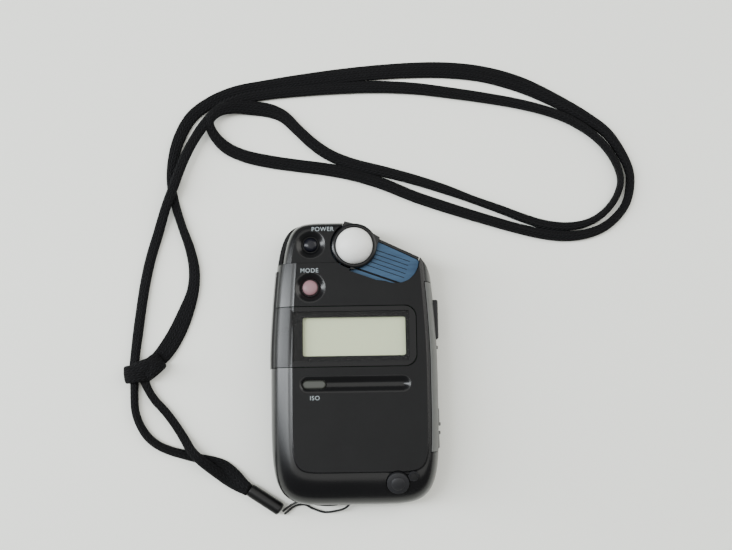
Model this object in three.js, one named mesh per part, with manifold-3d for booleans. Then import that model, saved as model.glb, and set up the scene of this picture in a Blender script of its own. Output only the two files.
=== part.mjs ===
// A handheld exposure meter lying on its back, with its neck strap.
// Millimetres. +X to the right, +Y towards the diffuser end, +Z out of the front face.
// The back of the case rests on z = 0 and the middle of the case is over the origin.

import * as THREE from 'three';
import { mergeVertices } from 'three/addons/utils/BufferGeometryUtils.js';
import Module from 'manifold-3d';

const wasm = await Module();
wasm.setup();

// ---- Driving dimensions ------------------------------------------------------------

const FIT = 0.3; // gap between neighbouring pieces
const CUT = 1; // how far a cutting solid runs past what it cuts

// Case
const CASE_WIDTH = 65; // widest, at mid length
const CASE_LENGTH = 109.8;
const SPLIT_Z = 8; // parting plane, where the case is widest
const WALL = 1.5;
const FLOOR = 1.8;
const CELL_R = 7.1; // an AA cell, which sets the depth of the case
const CELL_L = 50;
const CELL_GAP = 0.4;
const CELL_HEADROOM = 0.6;
const FRONT_Z = FLOOR + CELL_GAP + 2 * CELL_R + CELL_HEADROOM + WALL; // front panel
const HEAD_Z = FRONT_Z - 1.5; // lower face of the head
const TAPER = 0.13; // share of its width that the case loses towards the head
const BACK_ROUND = 4.5; // inset of the resting face from the outline
const HEAD_STEP = 2.2; // the head stands in from the main case by this, at its side

// Flat front panel inside the rounded edges
const BEVEL_LEFT = 8.3;
const BEVEL_RIGHT = 4.1;
const BEVEL_BOTTOM = 12.3;
const BEVEL_TOP = 2.5;
const HEAD_BEVEL = 3.8;

// Diffuser slide
const DOME_X = 0.7;
const DOME_FROM_TOP = 10.2;
const SLIDE_ANGLE = -20 * Math.PI / 180;
const TRAVEL = 17;
const RING_R = 8.9;
const POCKET_R = 9.4;
const DOME_R = 7.2;
const DOME_HEIGHT = 6.3;
const DOME_WALL = 1.1;
const TRACK_Z = FRONT_Z - 3.5;
const TRACK_T = 2.3;
const CARRIAGE_T = 1.6;
const GUIDE_V = -8; // guide groove, measured square to the slide
const GUIDE_W = 0.8;
const RUNNER_W = 0.4;
const SILL = 0.8; // the track runs this far past the ring on its near side
const SILL_START = 1.5;
const SILL_END = 12.5;
const GUIDE_DEPTH = 1.2;
const SLOPE_LEFT = [-4.2, 0.4]; // the sloping top edge: x, and distance below the top
const SLOPE_RIGHT = [25.7, 14.7];
const SLOPE_CORNER = [28.8, 18.6];
const SLOPE_END = [33, 28];
const COVER_FROM_TOP = 17.1; // seam between the head and the front cover
const FRAME_WALL = 1;

// Display
const LCD_W = 39.6;
const LCD_H = 14.9;
const DISPLAY_X = 0.2;
const DISPLAY_FROM_TOP = 45.7;
const BEZEL_LEFT = -24.2;
const BEZEL_RIGHT = 24;
const BEZEL_H = 23;
const BEZEL_CORNER = 4.5;
const FRAME_LEFT = -23.5;
const FRAME_RIGHT = 21.4;
const FRAME_H = 19.4;
const FRAME_DEPTH = 1.2;
const BEZEL_DEPTH = 2.6;
const WINDOW_T = 0.7;
const PANEL_T = 2.4;
const PANEL_MARGIN = 2.2;

// Keys on the front
const POWER = { x: -16.4, fromTop: 9.5, r: 2.7, wellR: 5.65, wellDepth: 2.2 };
const MODE = { x: -16.6, fromTop: 26.6, r: 2.95, wellR: 5.75, wellDepth: 2.4 };
const ISO = { x: -15.4, w: 9.1, h: 3.3 };
const GROOVE_X = 0.3;
const GROOVE_FROM_TOP = 64;
const GROOVE_W = 43.4;
const GROOVE_H = 6.4;
const GROOVE_DEPTH = 2;
const KEY_TRAVEL = 0.7;
const KEY_FLANGE = 0.7;
const KEY_LIP = 0.5; // how far a key's flange reaches under the wall
const PAD = 1.4; // wall left under a well

// Right side keys
const STRIP_WALL = 1.2;
const STRIP_INSET = 3.1; // the side strips reach in over the bevel by this
const STRIP_LEFT_INSET = 1.7;
const STRIP_LEFT_PROUD = 0.5;
const STRIP_Z = [3, FRONT_Z - 0.6];
const STRIP_LEFT_Z = [3, 13];
const STRIP_RIGHT_Y = [-35, 29.8];
const STRIP_LEFT_Y = [-2.6, 35.2];
const MEASURE = { y: 15.9, l: 15.4, z: 8.5, h: 5.8, proud: 1.3 };
const UP = { y: -22, l: 7, z: 8.5, h: 5.2, proud: 0.2, nub: -2.7 };
const DOWN = { y: -30.6, l: 7, z: 8.5, h: 5.2, proud: 0.2, nub: 2.6 };
const KEY_SKIN_ROOM = 0.45; // the strip's wall is a chord of its curve here
const FLANGE_LAP = 0.05; // a key's flange stands this far behind its cap
const NUB_R = 0.7;
const NUB_PROUD = 0.6;
const INDEX_Y = 5;

// Boards
const BOARD_Z = 6.8;
const BOARD_T = 1.2;
const BOARD_INSET = 3.4;
const SIDE_BOARD_SHARE = 0.1508; // how far in the side board lies, as a share of the half width
const SWITCH_H = 2.5;
const SWITCH_W = 5;
const SIDE_BOARD_T = 0.6;
const SIDE_SWITCH_H = 0.7;

// Battery, an AA cell
const CELL_X = -0.2;
const CELL_FROM_BOTTOM = 31.1;
const HOLDER_WALL = 0.6;
const HOLDER_TOP = 11.5;
const CONTACT_T = 0.3;
const SPRING_L = 1.7;
const DOOR_T = 1.6;
const DOOR_W = 17;
const DOOR_RIGHT = 24;
const DOOR_LIP = 5.5; // how much of the side wall belongs to the door
const TONGUE = 1.4;
const TONGUE_T = 0.8;
const DOOR_TRAVEL = 8;

// Sync socket, square to the sloping chin
const SYNC_X = 16;
const SYNC_FROM_BOTTOM = 8.5;
const SYNC_TILT = 17 * Math.PI / 180;
const CAP_R = 4.2;
const CAP_DISC = 1.5;
const CAP_CROWN = 0.9;
const CAP_SKIRT = 1.1;
const SOCKET_R = 2.9;
const SOCKET_BORE = 1.9;
const SOCKET_L = 6;
const TETHER_AT = [5.9, 2.6];
const TETHER_R = 1.9;
const TETHER_T = 0.8;
const TETHER_W = 2.4;
const TETHER_SCREW_R = 0.9;

// Case screws: distance in from the outline, and from the nearer end
const SCREWS = [
  { side: -1, in: 8.6, end: -1, from: 8.6 },
  { side: 1, in: 6.4, end: -1, from: 15.4 },
  { side: -1, in: 5.2, end: 1, from: 8.2 },
  { side: 1, in: 5.1, end: 1, from: 28.4 },
];
const BOSS_R = 2.4;
const SCREW_R = 0.9;
const SCREW_HEAD_R = 1.9;
const SCREW_L = 11.5;

// Strap eyelet in the bottom edge
const EYELET_X = -4;
const EYELET_W = 8;
const EYELET_DEPTH = 4.4;
const EYELET_Z = [2.4, 6.4];
const PIN_R = 0.8;
const PIN_BACK = 2; // pin axis in from the bottom edge

// Strap
const STRAP_R = 1.6;
const STRING_R = 0.4;
const FERRULE_R = 2.35;
const FERRULE_L = 14.4;

// ---- Materials ---------------------------------------------------------------------

function finish(colour, roughness, metalness = 0) {
  return new THREE.MeshStandardMaterial({ color: colour, roughness, metalness });
}

const SATIN_BLACK = finish(0x2b2b2d, 0.5);
const GLOSS_BLACK = finish(0x17171b, 0.2);
const GREY = finish(0x6e7068, 0.5);
const BLUE = finish(0x46688a, 0.45);
const PINK = finish(0x9e7880, 0.5);
const NAVY = finish(0x1a1c28, 0.3);
const KEY_GREY = finish(0x6a6c6c, 0.6);
const WHITE = finish(0xe8e8e2, 0.4);
const CLEAR = finish(0xf0f4f2, 0.05);
const LCD_GREEN = finish(0xc6ccb4, 0.3);
const BOARD_GREEN = finish(0x23562f, 0.5);
const CHIP_BLACK = finish(0x1c1c1c, 0.4);
const STEEL = finish(0xb4b6b8, 0.3, 1);
const BRASS = finish(0xc0a060, 0.3, 1);
const RUBBER = finish(0x2c2c30, 0.7);
const STRAP_BLACK = finish(0x202022, 0.9);
const LABEL = finish(0x9a9c9e, 0.5);
const CELL_SKIN = finish(0x3a4250, 0.4, 0.3);

// ---- Solids ------------------------------------------------------------------------

function solid(geometry) {
  const bare = geometry.clone();
  bare.deleteAttribute('normal');
  bare.deleteAttribute('uv');
  const merged = mergeVertices(bare, 1e-5);
  const mesh = new wasm.Mesh({
    numProp: 3,
    vertProperties: new Float32Array(merged.attributes.position.array),
    triVerts: new Uint32Array(merged.index.array),
  });
  return new wasm.Manifold(mesh);
}

function geometryOf(body) {
  const mesh = body.getMesh();
  const geometry = new THREE.BufferGeometry();
  geometry.setAttribute('position', new THREE.BufferAttribute(mesh.vertProperties, 3));
  geometry.setIndex(new THREE.BufferAttribute(mesh.triVerts, 1));
  geometry.computeVertexNormals();
  return geometry;
}

function cut(body, ...tools) {
  return tools.reduce((left, tool) => left.subtract(tool), body);
}

function join(body, ...others) {
  return others.reduce((sum, other) => sum.add(other), body);
}

function common(body, ...others) {
  return others.reduce((shared, other) => shared.intersect(other), body);
}

function box(x0, x1, y0, y1, z0, z1) {
  const geometry = new THREE.BoxGeometry(x1 - x0, y1 - y0, z1 - z0);
  geometry.translate((x0 + x1) / 2, (y0 + y1) / 2, (z0 + z1) / 2);
  return solid(geometry);
}

function prism(shape, z0, z1, curveSegments = 6) {
  const settings = { depth: z1 - z0, bevelEnabled: false, curveSegments };
  const geometry = new THREE.ExtrudeGeometry(shape, settings);
  geometry.translate(0, 0, z0);
  return solid(geometry);
}

function disc(x, y, z0, z1, r, sides = 24) {
  const geometry = new THREE.CylinderGeometry(r, r, z1 - z0, sides);
  geometry.rotateX(Math.PI / 2);
  geometry.translate(x, y, (z0 + z1) / 2);
  return solid(geometry);
}

// A profile of [radius, height] pairs turned about an upright axis
function turned(profile, x = 0, y = 0, z = 0, sides = 32) {
  const points = profile.map(([r, h]) => new THREE.Vector2(r, h));
  const geometry = new THREE.LatheGeometry(points, sides);
  geometry.rotateX(Math.PI / 2);
  geometry.translate(x, y, z);
  return solid(geometry);
}

function polygon(points) {
  return new THREE.Shape(points.map(([x, y]) => new THREE.Vector2(x, y)));
}

function pill(x, y, w, h) {
  const r = h / 2;
  const shape = new THREE.Shape();
  shape.absarc(x + w / 2 - r, y, r, -Math.PI / 2, Math.PI / 2);
  shape.absarc(x - w / 2 + r, y, r, Math.PI / 2, 3 * Math.PI / 2);
  return shape;
}

function roundedRect(x0, x1, y0, y1, r) {
  const shape = new THREE.Shape();
  shape.absarc(x1 - r, y0 + r, r, -Math.PI / 2, 0);
  shape.absarc(x1 - r, y1 - r, r, 0, Math.PI / 2);
  shape.absarc(x0 + r, y1 - r, r, Math.PI / 2, Math.PI);
  shape.absarc(x0 + r, y0 + r, r, Math.PI, 3 * Math.PI / 2);
  return shape;
}

// A closed skin over a stack of level rings of points
function loft(rings) {
  const count = rings[0].length;
  const positions = rings.flat().flatMap((p) => [p.x, p.y, p.z]);
  const index = [];
  for (let level = 0; level < rings.length - 1; level++) {
    for (let i = 0; i < count; i++) {
      const a = level * count + i;
      const b = level * count + (i + 1) % count;
      index.push(a, b, b + count, a, b + count, a + count);
    }
  }
  const flat = (ring) => ring.map((p) => new THREE.Vector2(p.x, p.y));
  const last = (rings.length - 1) * count;
  for (const [a, b, c] of THREE.ShapeUtils.triangulateShape(flat(rings[0]), [])) {
    index.push(a, c, b);
  }
  for (const [a, b, c] of THREE.ShapeUtils.triangulateShape(flat(rings.at(-1)), [])) {
    index.push(last + a, last + b, last + c);
  }
  const geometry = new THREE.BufferGeometry();
  geometry.setAttribute('position', new THREE.Float32BufferAttribute(positions, 3));
  geometry.setIndex(index);
  return solid(geometry);
}

// ---- Case outline ------------------------------------------------------------------

const HALF_W = CASE_WIDTH / 2;
const TOP = CASE_LENGTH / 2;
const BOTTOM = -TOP;
const RING_POINTS = 52;

function taperAt(y) {
  return y > 0 ? 1 - TAPER * (Math.min(y, TOP) / TOP) ** 1.5 : 1;
}

// Half the width of the case at a distance along it
function halfWidth(y) {
  const power = y > 0 ? 8 : 6;
  return HALF_W * taperAt(y) * (1 - Math.abs(y / TOP) ** power) ** (1 / power);
}

// Points round a rounded barrel: its middle, half sizes, and corner powers low and high
function barrel(cx, cy, hx, hy, low, high) {
  const ring = [];
  for (let i = 0; i < RING_POINTS; i++) {
    const t = (i + 0.5) / RING_POINTS * 2 * Math.PI;
    const power = Math.sin(t) > 0 ? high : low;
    const y = cy + hy * Math.sign(Math.sin(t)) * Math.abs(Math.sin(t)) ** (2 / power);
    const x = cx + hx * Math.sign(Math.cos(t)) * Math.abs(Math.cos(t)) ** (2 / power);
    ring.push(new THREE.Vector2(x * taperAt(y), y));
  }
  return ring;
}

function outline(inset, sideStep = 0) {
  return barrel(0, 0, HALF_W - inset - sideStep, TOP - inset, 6, 8);
}

// The edge of the flat front panel
function panelEdge(inset, left) {
  const x0 = -HALF_W + left + inset;
  const x1 = HALF_W - BEVEL_RIGHT - inset;
  const y0 = BOTTOM + BEVEL_BOTTOM + inset;
  const y1 = TOP - BEVEL_TOP - inset;
  return barrel((x0 + x1) / 2, (y0 + y1) / 2, (x1 - x0) / 2, (y1 - y0) / 2, 10, 10);
}

function between(a, b, share, z) {
  return a.map((p, i) => {
    const q = p.clone().lerp(b[i], share);
    return new THREE.Vector3(q.x, q.y, z);
  });
}

const STEPS = [0, 0.22, 0.44, 0.66, 0.86, 1];

// The front half of the case as a solid form, inset all round
function frontForm(inset, topZ = FRONT_Z, step = 0, left = BEVEL_LEFT) {
  const low = outline(inset, step);
  const high = panelEdge(inset * 0.6, left);
  const z0 = SPLIT_Z + FIT;
  const rise = topZ - inset - z0;
  const rings = [between(low, high, 0, z0 - (inset > 0 ? CUT : 0))];
  for (const u of STEPS) {
    const angle = u * Math.PI / 2;
    if (u > 0 || inset > 0) {
      rings.push(between(low, high, 1 - Math.cos(angle), z0 + rise * Math.sin(angle)));
    }
  }
  return common(loft(rings), prism(underSlope(inset), -CUT, FRONT_Z + CUT));
}

// The back half of the case as a solid form, inset all round
function backForm(inset, floor) {
  const wide = outline(inset);
  const narrow = outline(BACK_ROUND + inset * 0.4);
  const rings = [];
  for (const u of [1, 0.75, 0.5, 0.25, 0]) {
    const angle = u * Math.PI / 2;
    const z = SPLIT_Z - (SPLIT_Z - floor) * Math.sin(angle);
    rings.push(between(wide, narrow, 1 - Math.cos(angle), z));
  }
  if (inset > 0) {
    rings.push(between(wide, narrow, 0, SPLIT_Z + CUT));
  }
  return common(loft(rings), prism(underSlope(inset), -CUT, FRONT_Z));
}

// Everything below the sloping top edge, moved down square to the slope by an inset
function underSlope(inset) {
  const far = CASE_LENGTH + CASE_WIDTH;
  const at = ([x, down]) => new THREE.Vector2(x, TOP - down);
  const run = at(SLOPE_RIGHT).sub(at(SLOPE_LEFT)).normalize();
  const shift = ([x, y]) => new THREE.Vector2(x + run.y * inset, y - run.x * inset);
  const line = [SLOPE_RIGHT, SLOPE_CORNER, SLOPE_END].map(([x, down]) => shift([x, TOP - down]));
  const start = shift([SLOPE_LEFT[0], TOP - SLOPE_LEFT[1]]);
  const back = start.clone().addScaledVector(run, -CASE_WIDTH);
  const end = line.at(-1);
  const corners = [[-far, -far], [far, -far], [far, end.y - far / 2], [end.x, end.y]];
  corners.push([line[1].x, line[1].y], [line[0].x, line[0].y], [back.x, back.y]);
  corners.push([-far, back.y]);
  return polygon(corners);
}

// ---- Slide frame: u along the slide, v square to it, from the dome's rest place ------

const DOME_Y = TOP - DOME_FROM_TOP;
const SLIDE = new THREE.Vector2(Math.cos(SLIDE_ANGLE), Math.sin(SLIDE_ANGLE));

function onSlide([u, v]) {
  return [DOME_X + u * SLIDE.x - v * SLIDE.y, DOME_Y + u * SLIDE.y + v * SLIDE.x];
}

// The recess that the carriage slides in
function pocket(z0, z1, r = POCKET_R) {
  const shape = new THREE.Shape();
  const [x0, y0] = onSlide([0, 0]);
  const [x1, y1] = onSlide([TRAVEL, 0]);
  shape.absarc(x1, y1, r, SLIDE_ANGLE - Math.PI / 2, SLIDE_ANGLE + Math.PI / 2);
  shape.absarc(x0, y0, r, SLIDE_ANGLE + Math.PI / 2, SLIDE_ANGLE + 3 * Math.PI / 2);
  const wide = polygon([[-r + 2, 0], [TRAVEL + r - 0.7, 0], [TRAVEL + r - 0.7, 2 * r], [-r + 2, 2 * r]]
    .map(onSlide));
  const left = SILL_START + POCKET_R - r;
  const sill = polygon([[left, 0], [left, -r - SILL], [SILL_END, -r - SILL], [TRAVEL - 1, -r], [TRAVEL - 1, 0]]
    .map(onSlide));
  return join(prism(shape, z0, z1, 20), prism(wide, z0, z1), prism(sill, z0, z1));
}

// ---- Places worked out from the sizes -----------------------------------------------

const COVER_TOP = TOP - COVER_FROM_TOP;
const DISPLAY_Y = TOP - DISPLAY_FROM_TOP;
const GROOVE_Y = TOP - GROOVE_FROM_TOP;
const POWER_Y = TOP - POWER.fromTop;
const MODE_Y = TOP - MODE.fromTop;
const BOARD_TOP = BOARD_Z + BOARD_T;
const SWITCH_Z = BOARD_TOP + FIT;
const STEM_Z = SWITCH_Z + SWITCH_H + KEY_TRAVEL + 0.2;
const CELL_Y = BOTTOM + CELL_FROM_BOTTOM;
const CELL_Z = FLOOR + CELL_GAP + CELL_R;
const SIDE_FACE_X = HALF_W * (1 - SIDE_BOARD_SHARE);
const FRAME_FLOOR = FRONT_Z - FRAME_DEPTH;
const BEZEL_UNDER = FRONT_Z - BEZEL_DEPTH;

const screws = SCREWS.map((s) => {
  const y = s.end * (TOP - s.from);
  return { x: s.side * (halfWidth(y) - s.in), y };
});

// ---- Side strips ---------------------------------------------------------------------

// The band at one side that a strip fills, grown by a gap
function sideBand(side, inset, [y0, y1], [z0, z1], gap) {
  const reach = 2 * CASE_WIDTH;
  const slab = side > 0
    ? box(HALF_W / 2, reach, y0 - gap, y1 + gap, z0 - gap, z1 + gap)
    : box(-reach, -HALF_W / 2, y0 - gap, y1 + gap, z0 - gap, z1 + gap);
  return cut(slab, prism(new THREE.Shape(outline(inset + gap)), -CUT, FRONT_Z + CUT));
}

const rightBand = (gap) => sideBand(1, STRIP_INSET, STRIP_RIGHT_Y, STRIP_Z, gap);
const leftBand = (gap) => sideBand(-1, STRIP_LEFT_INSET, STRIP_LEFT_Y, STRIP_LEFT_Z, gap);

function closedForm(inset) {
  const wide = outline(inset);
  const edge = panelEdge(inset * 0.6, BEVEL_LEFT);
  const narrow = outline(BACK_ROUND + inset * 0.4);
  const rings = [];
  for (const u of [1, 0.75, 0.5, 0.25]) {
    const angle = u * Math.PI / 2;
    const z = SPLIT_Z - (SPLIT_Z - inset) * Math.sin(angle);
    rings.push(between(wide, narrow, 1 - Math.cos(angle), z));
  }
  for (const u of STEPS) {
    const angle = u * Math.PI / 2;
    const z = SPLIT_Z + FIT + (FRONT_Z - inset - SPLIT_Z - FIT) * Math.sin(angle);
    rings.push(between(wide, edge, 1 - Math.cos(angle), z));
  }
  return loft(rings);
}

function sideKeyHole(key, gap) {
  const x0 = halfWidth(key.y) - 6;
  return box(x0, HALF_W + 4, key.y - key.l / 2 - gap, key.y + key.l / 2 + gap,
    key.z - key.h / 2 - gap, key.z + key.h / 2 + gap);
}

function nub(y, x, z) {
  const geometry = new THREE.CylinderGeometry(NUB_R, NUB_R, 2, 12);
  geometry.rotateZ(Math.PI / 2);
  geometry.translate(x, y, z);
  return solid(geometry);
}

function rightStrip() {
  const wall = cut(closedForm(0), closedForm(STRIP_WALL));
  const index = nub(INDEX_Y, halfWidth(INDEX_Y) + NUB_PROUD - 1, MEASURE.z);
  return join(
    cut(common(wall, rightBand(0)), ...[MEASURE, UP, DOWN].map((key) => sideKeyHole(key, FIT))),
    index,
  );
}

function leftStrip() {
  return common(cut(closedForm(-STRIP_LEFT_PROUD), closedForm(STRIP_WALL)), leftBand(0));
}

// A key in the right side: a cap through the strip with a flange behind it
function sideKey(key) {
  const ends = [key.y + key.l / 2 + KEY_LIP, key.y - key.l / 2 - KEY_LIP];
  const skin = Math.min(...ends.map(halfWidth)) - STRIP_WALL - KEY_SKIN_ROOM;
  const outer = halfWidth(key.y) + key.proud;
  const inner = SIDE_FACE_X + SIDE_SWITCH_H + KEY_TRAVEL + 0.2;
  const cap = box(inner + FLANGE_LAP, outer, key.y - key.l / 2, key.y + key.l / 2,
    key.z - key.h / 2, key.z + key.h / 2);
  const flange = box(inner, skin - FIT, key.y - key.l / 2 - KEY_LIP, key.y + key.l / 2 + KEY_LIP,
    key.z - key.h / 2 - KEY_LIP, key.z + key.h / 2 + KEY_LIP);
  const plain = join(cap, flange);
  return 'nub' in key ? join(plain, nub(key.y + key.nub, outer + NUB_PROUD - 1, key.z)) : plain;
}

function sideSwitch(key) {
  const x = SIDE_FACE_X;
  return box(x + 0.05, x + SIDE_SWITCH_H, key.y - 1.6, key.y + 1.6, key.z - 1.6, key.z + 1.6);
}

// ---- Display -------------------------------------------------------------------------

function bezelArea(gap) {
  const y0 = DISPLAY_Y - BEZEL_H / 2 - gap;
  const y1 = DISPLAY_Y + BEZEL_H / 2 + gap;
  const right = roundedRect(0, BEZEL_RIGHT + gap, y0, y1, BEZEL_CORNER);
  const left = box(-2 * CASE_WIDTH, BEZEL_CORNER + CUT, y0, y1, 0, FRONT_Z + CUT);
  return join(left, prism(right, 0, FRONT_Z + CUT));
}

function displayBezel() {
  const y0 = DISPLAY_Y - FRAME_H / 2;
  const y1 = DISPLAY_Y + FRAME_H / 2;
  const skin = cut(common(frontForm(0), bezelArea(0)), frontForm(WALL), leftBand(FIT));
  const block = box(FRAME_LEFT - 0.6, FRAME_RIGHT + 0.6, y0 - 0.6, y1 + 0.6, BEZEL_UNDER, FRONT_Z - 0.1);
  const recess = box(FRAME_LEFT, FRAME_RIGHT, y0, y1, FRAME_FLOOR, FRONT_Z + CUT);
  const opening = box(DISPLAY_X - LCD_W / 2, DISPLAY_X + LCD_W / 2,
    DISPLAY_Y - LCD_H / 2, DISPLAY_Y + LCD_H / 2, 0, FRONT_Z + CUT);
  return cut(join(skin, block), recess, opening);
}

function displayWindow() {
  const y0 = DISPLAY_Y - FRAME_H / 2 + FIT;
  const y1 = DISPLAY_Y + FRAME_H / 2 - FIT;
  const z = FRAME_FLOOR + 0.2;
  return box(FRAME_LEFT + FIT, FRAME_RIGHT - FIT, y0, y1, z, z + WINDOW_T);
}

function displayPanel() {
  const z = BEZEL_UNDER - FIT;
  const x = LCD_W / 2 + PANEL_MARGIN;
  const y = LCD_H / 2 + PANEL_MARGIN;
  return box(DISPLAY_X - x, DISPLAY_X + x, DISPLAY_Y - y, DISPLAY_Y + y, z - PANEL_T, z);
}

function displayConnector() {
  const y = DISPLAY_Y - LCD_H / 2;
  const z1 = BEZEL_UNDER - 2 * FIT - PANEL_T;
  return box(DISPLAY_X - LCD_W / 2, DISPLAY_X + LCD_W / 2, y - 0.9, y + 0.9, SWITCH_Z, z1);
}

// ---- Sync socket ---------------------------------------------------------------------

const SYNC_Y = BOTTOM + SYNC_FROM_BOTTOM;

// Height of the chin over a point near the bottom edge
function chinZ(y) {
  const cos = Math.min(1, (BOTTOM + BEVEL_BOTTOM - y) / BEVEL_BOTTOM);
  return SPLIT_Z + FIT + (FRONT_Z - SPLIT_Z - FIT) * Math.sqrt(1 - cos * cos);
}

// Carries a shape built upright about the origin onto the socket's tilted axis
function onSync(body) {
  const z = chinZ(SYNC_Y);
  return body.rotate([SYNC_TILT * 180 / Math.PI, 0, 0]).translate([SYNC_X, SYNC_Y, z]);
}

function syncWell() {
  const deep = turned([[0, -3.2], [CAP_R - 0.3, -3.2], [CAP_R - 0.3, -1], [CAP_R + 0.4, -0.9],
    [CAP_R + 0.4, 6], [0, 6]]);
  const [tx, ty] = TETHER_AT;
  const ring = disc(tx, ty, -0.9, 6, TETHER_R + FIT);
  const angle = Math.atan2(ty, tx);
  const neck = solid(new THREE.BoxGeometry(Math.hypot(tx, ty), TETHER_W + 2 * FIT, 6.9)
    .translate(Math.hypot(tx, ty) / 2, 0, 2.55).rotateZ(angle));
  const hole = disc(0, 0, -12, 0, SOCKET_R + FIT);
  return onSync(join(deep, ring, neck, hole, disc(tx, ty, -5, 0, TETHER_SCREW_R + 0.1, 12)));
}

function syncBoss() {
  const [tx, ty] = TETHER_AT;
  return onSync(join(disc(0, 0, -4.6, 0.3, CAP_R + 1.3), disc(tx, ty, -6, 0, 2)));
}

function syncCap() {
  const r = CAP_R;
  const profile = [[0, -0.6], [SOCKET_R + 0.3, -0.6], [SOCKET_R + 0.3, -0.6 - CAP_SKIRT],
    [r - 0.6, -0.6 - CAP_SKIRT], [r - 0.6, -0.6], [r, -0.6], [r, CAP_DISC - 0.6],
    [r * 0.93, CAP_DISC - 0.3], [r * 0.7, CAP_DISC + CAP_CROWN - 0.9],
    [r * 0.4, CAP_DISC + CAP_CROWN - 0.67], [0, CAP_DISC + CAP_CROWN - 0.6]];
  return onSync(turned(profile));
}

function syncSocketShell() {
  const top = -0.9;
  return onSync(turned([[SOCKET_BORE, top], [SOCKET_BORE, top - SOCKET_L], [SOCKET_R, top - SOCKET_L],
    [SOCKET_R, top], [SOCKET_BORE, top]], 0, 0, 0, 24));
}

function syncInsulator() {
  const top = -4.2;
  return onSync(turned([[0.7, top], [0.7, top - 2.2], [SOCKET_BORE - 0.1, top - 2.2],
    [SOCKET_BORE - 0.1, top], [0.7, top]], 0, 0, 0, 20));
}

function syncCentre() {
  return onSync(disc(0, 0, -8, -2, 0.5, 12));
}

function syncTether() {
  const [tx, ty] = TETHER_AT;
  const reach = Math.hypot(tx, ty);
  const start = CAP_R + FIT;
  const z = -0.5;
  const neck = solid(new THREE.BoxGeometry(reach - start, TETHER_W, TETHER_T)
    .translate((reach + start) / 2, 0, z + TETHER_T / 2).rotateZ(Math.atan2(ty, tx)));
  const ring = join(neck, disc(tx, ty, z, z + TETHER_T, TETHER_R));
  return onSync(cut(ring, disc(tx, ty, -CUT - 1, 2, TETHER_SCREW_R + 0.3, 16),
    disc(0, 0, -CUT - 1, 2, start, 32)));
}

function tetherScrew() {
  const [tx, ty] = TETHER_AT;
  const z = -0.5 + TETHER_T + 0.1;
  return onSync(turned([[0, -4.4], [TETHER_SCREW_R - 0.2, -4.4], [TETHER_SCREW_R - 0.2, z],
    [TETHER_SCREW_R + 0.5, z], [TETHER_SCREW_R + 0.4, z + 0.4], [0, z + 0.5]], tx, ty, 0, 16));
}

// ---- Covers --------------------------------------------------------------------------

function frontArea(gap) {
  const far = 2 * CASE_WIDTH;
  const split = DOME_X + TRAVEL / 2;
  const shape = polygon([[-far, -far], [far, -far], [far, TOP + CUT], [split, TOP + CUT],
    [split, COVER_TOP - gap], [-far, COVER_TOP - gap]]);
  return cut(prism(shape, 0, FRONT_Z + CUT), pocket(-CUT, FRONT_Z + 2 * CUT, POCKET_R + gap));
}

function headArea(gap) {
  const far = 2 * CASE_WIDTH;
  const shape = polygon([[-far, COVER_TOP + FIT + gap], [DOME_X, COVER_TOP + FIT + gap],
    [DOME_X, TOP + CUT], [-far, TOP + CUT]]);
  return cut(prism(shape, 0, FRONT_Z + CUT), pocket(-CUT, FRONT_Z + 2 * CUT, POCKET_R + gap));
}

function boss({ x, y }, topZ) {
  return disc(x, y, SPLIT_Z + FIT, topZ, BOSS_R, 20);
}

function bossBore({ x, y }) {
  return disc(x, y, 0, 1.4 + SCREW_L + 0.4, SCREW_R + 0.1, 16);
}

function well(key, y, topZ) {
  const r = key.wellR;
  const d = key.wellDepth;
  return join(
    turned([[0, -d], [key.r + 0.8, -d], [key.r + 1.5, -d + 0.15], [r - 0.7, -0.5], [r, 0], [r, 4],
      [0, 4]], key.x, y, topZ),
    disc(key.x, y, -CUT, topZ, key.r + FIT),
  );
}

function wellPad(key, y, topZ) {
  return disc(key.x, y, topZ - key.wellDepth - PAD, topZ - 0.5, key.wellR + 1.1, 32);
}

function grooveCutter() {
  const r = GROOVE_H / 2;
  const geometry = new THREE.CapsuleGeometry(r, GROOVE_W - GROOVE_H, 8, 20);
  geometry.rotateZ(Math.PI / 2);
  geometry.scale(1, 1, GROOVE_DEPTH / r);
  geometry.translate(GROOVE_X, GROOVE_Y, FRONT_Z);
  return solid(geometry);
}

function frontCover() {
  const shell = cut(common(frontForm(0), frontArea(0)), common(frontForm(WALL), frontArea(WALL)));
  const groovePad = box(GROOVE_X - GROOVE_W / 2 - 1, GROOVE_X + GROOVE_W / 2 + 1,
    GROOVE_Y - GROOVE_H / 2 - 1, GROOVE_Y + GROOVE_H / 2 + 1,
    FRONT_Z - GROOVE_DEPTH - PAD, FRONT_Z - 0.5);
  const bosses = [0, 1, 3].map((i) => common(boss(screws[i], FRONT_Z - 0.5), frontForm(0)));
  const pads = common(join(groovePad, wellPad(MODE, MODE_Y, FRONT_Z), ...bosses), frontArea(0));
  const solidParts = join(shell, pads, common(syncBoss(), frontForm(-0.2)));
  return cut(
    solidParts,
    bezelArea(FIT), grooveCutter(),
    prism(pill(ISO.x, GROOVE_Y, ISO.w + 2 * FIT, ISO.h + 2 * FIT), 0, FRONT_Z + CUT),
    well(MODE, MODE_Y, FRONT_Z), syncWell(), rightBand(FIT), leftBand(FIT),
    ...[0, 1, 3].map((i) => bossBore(screws[i])),
  );
}

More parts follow.
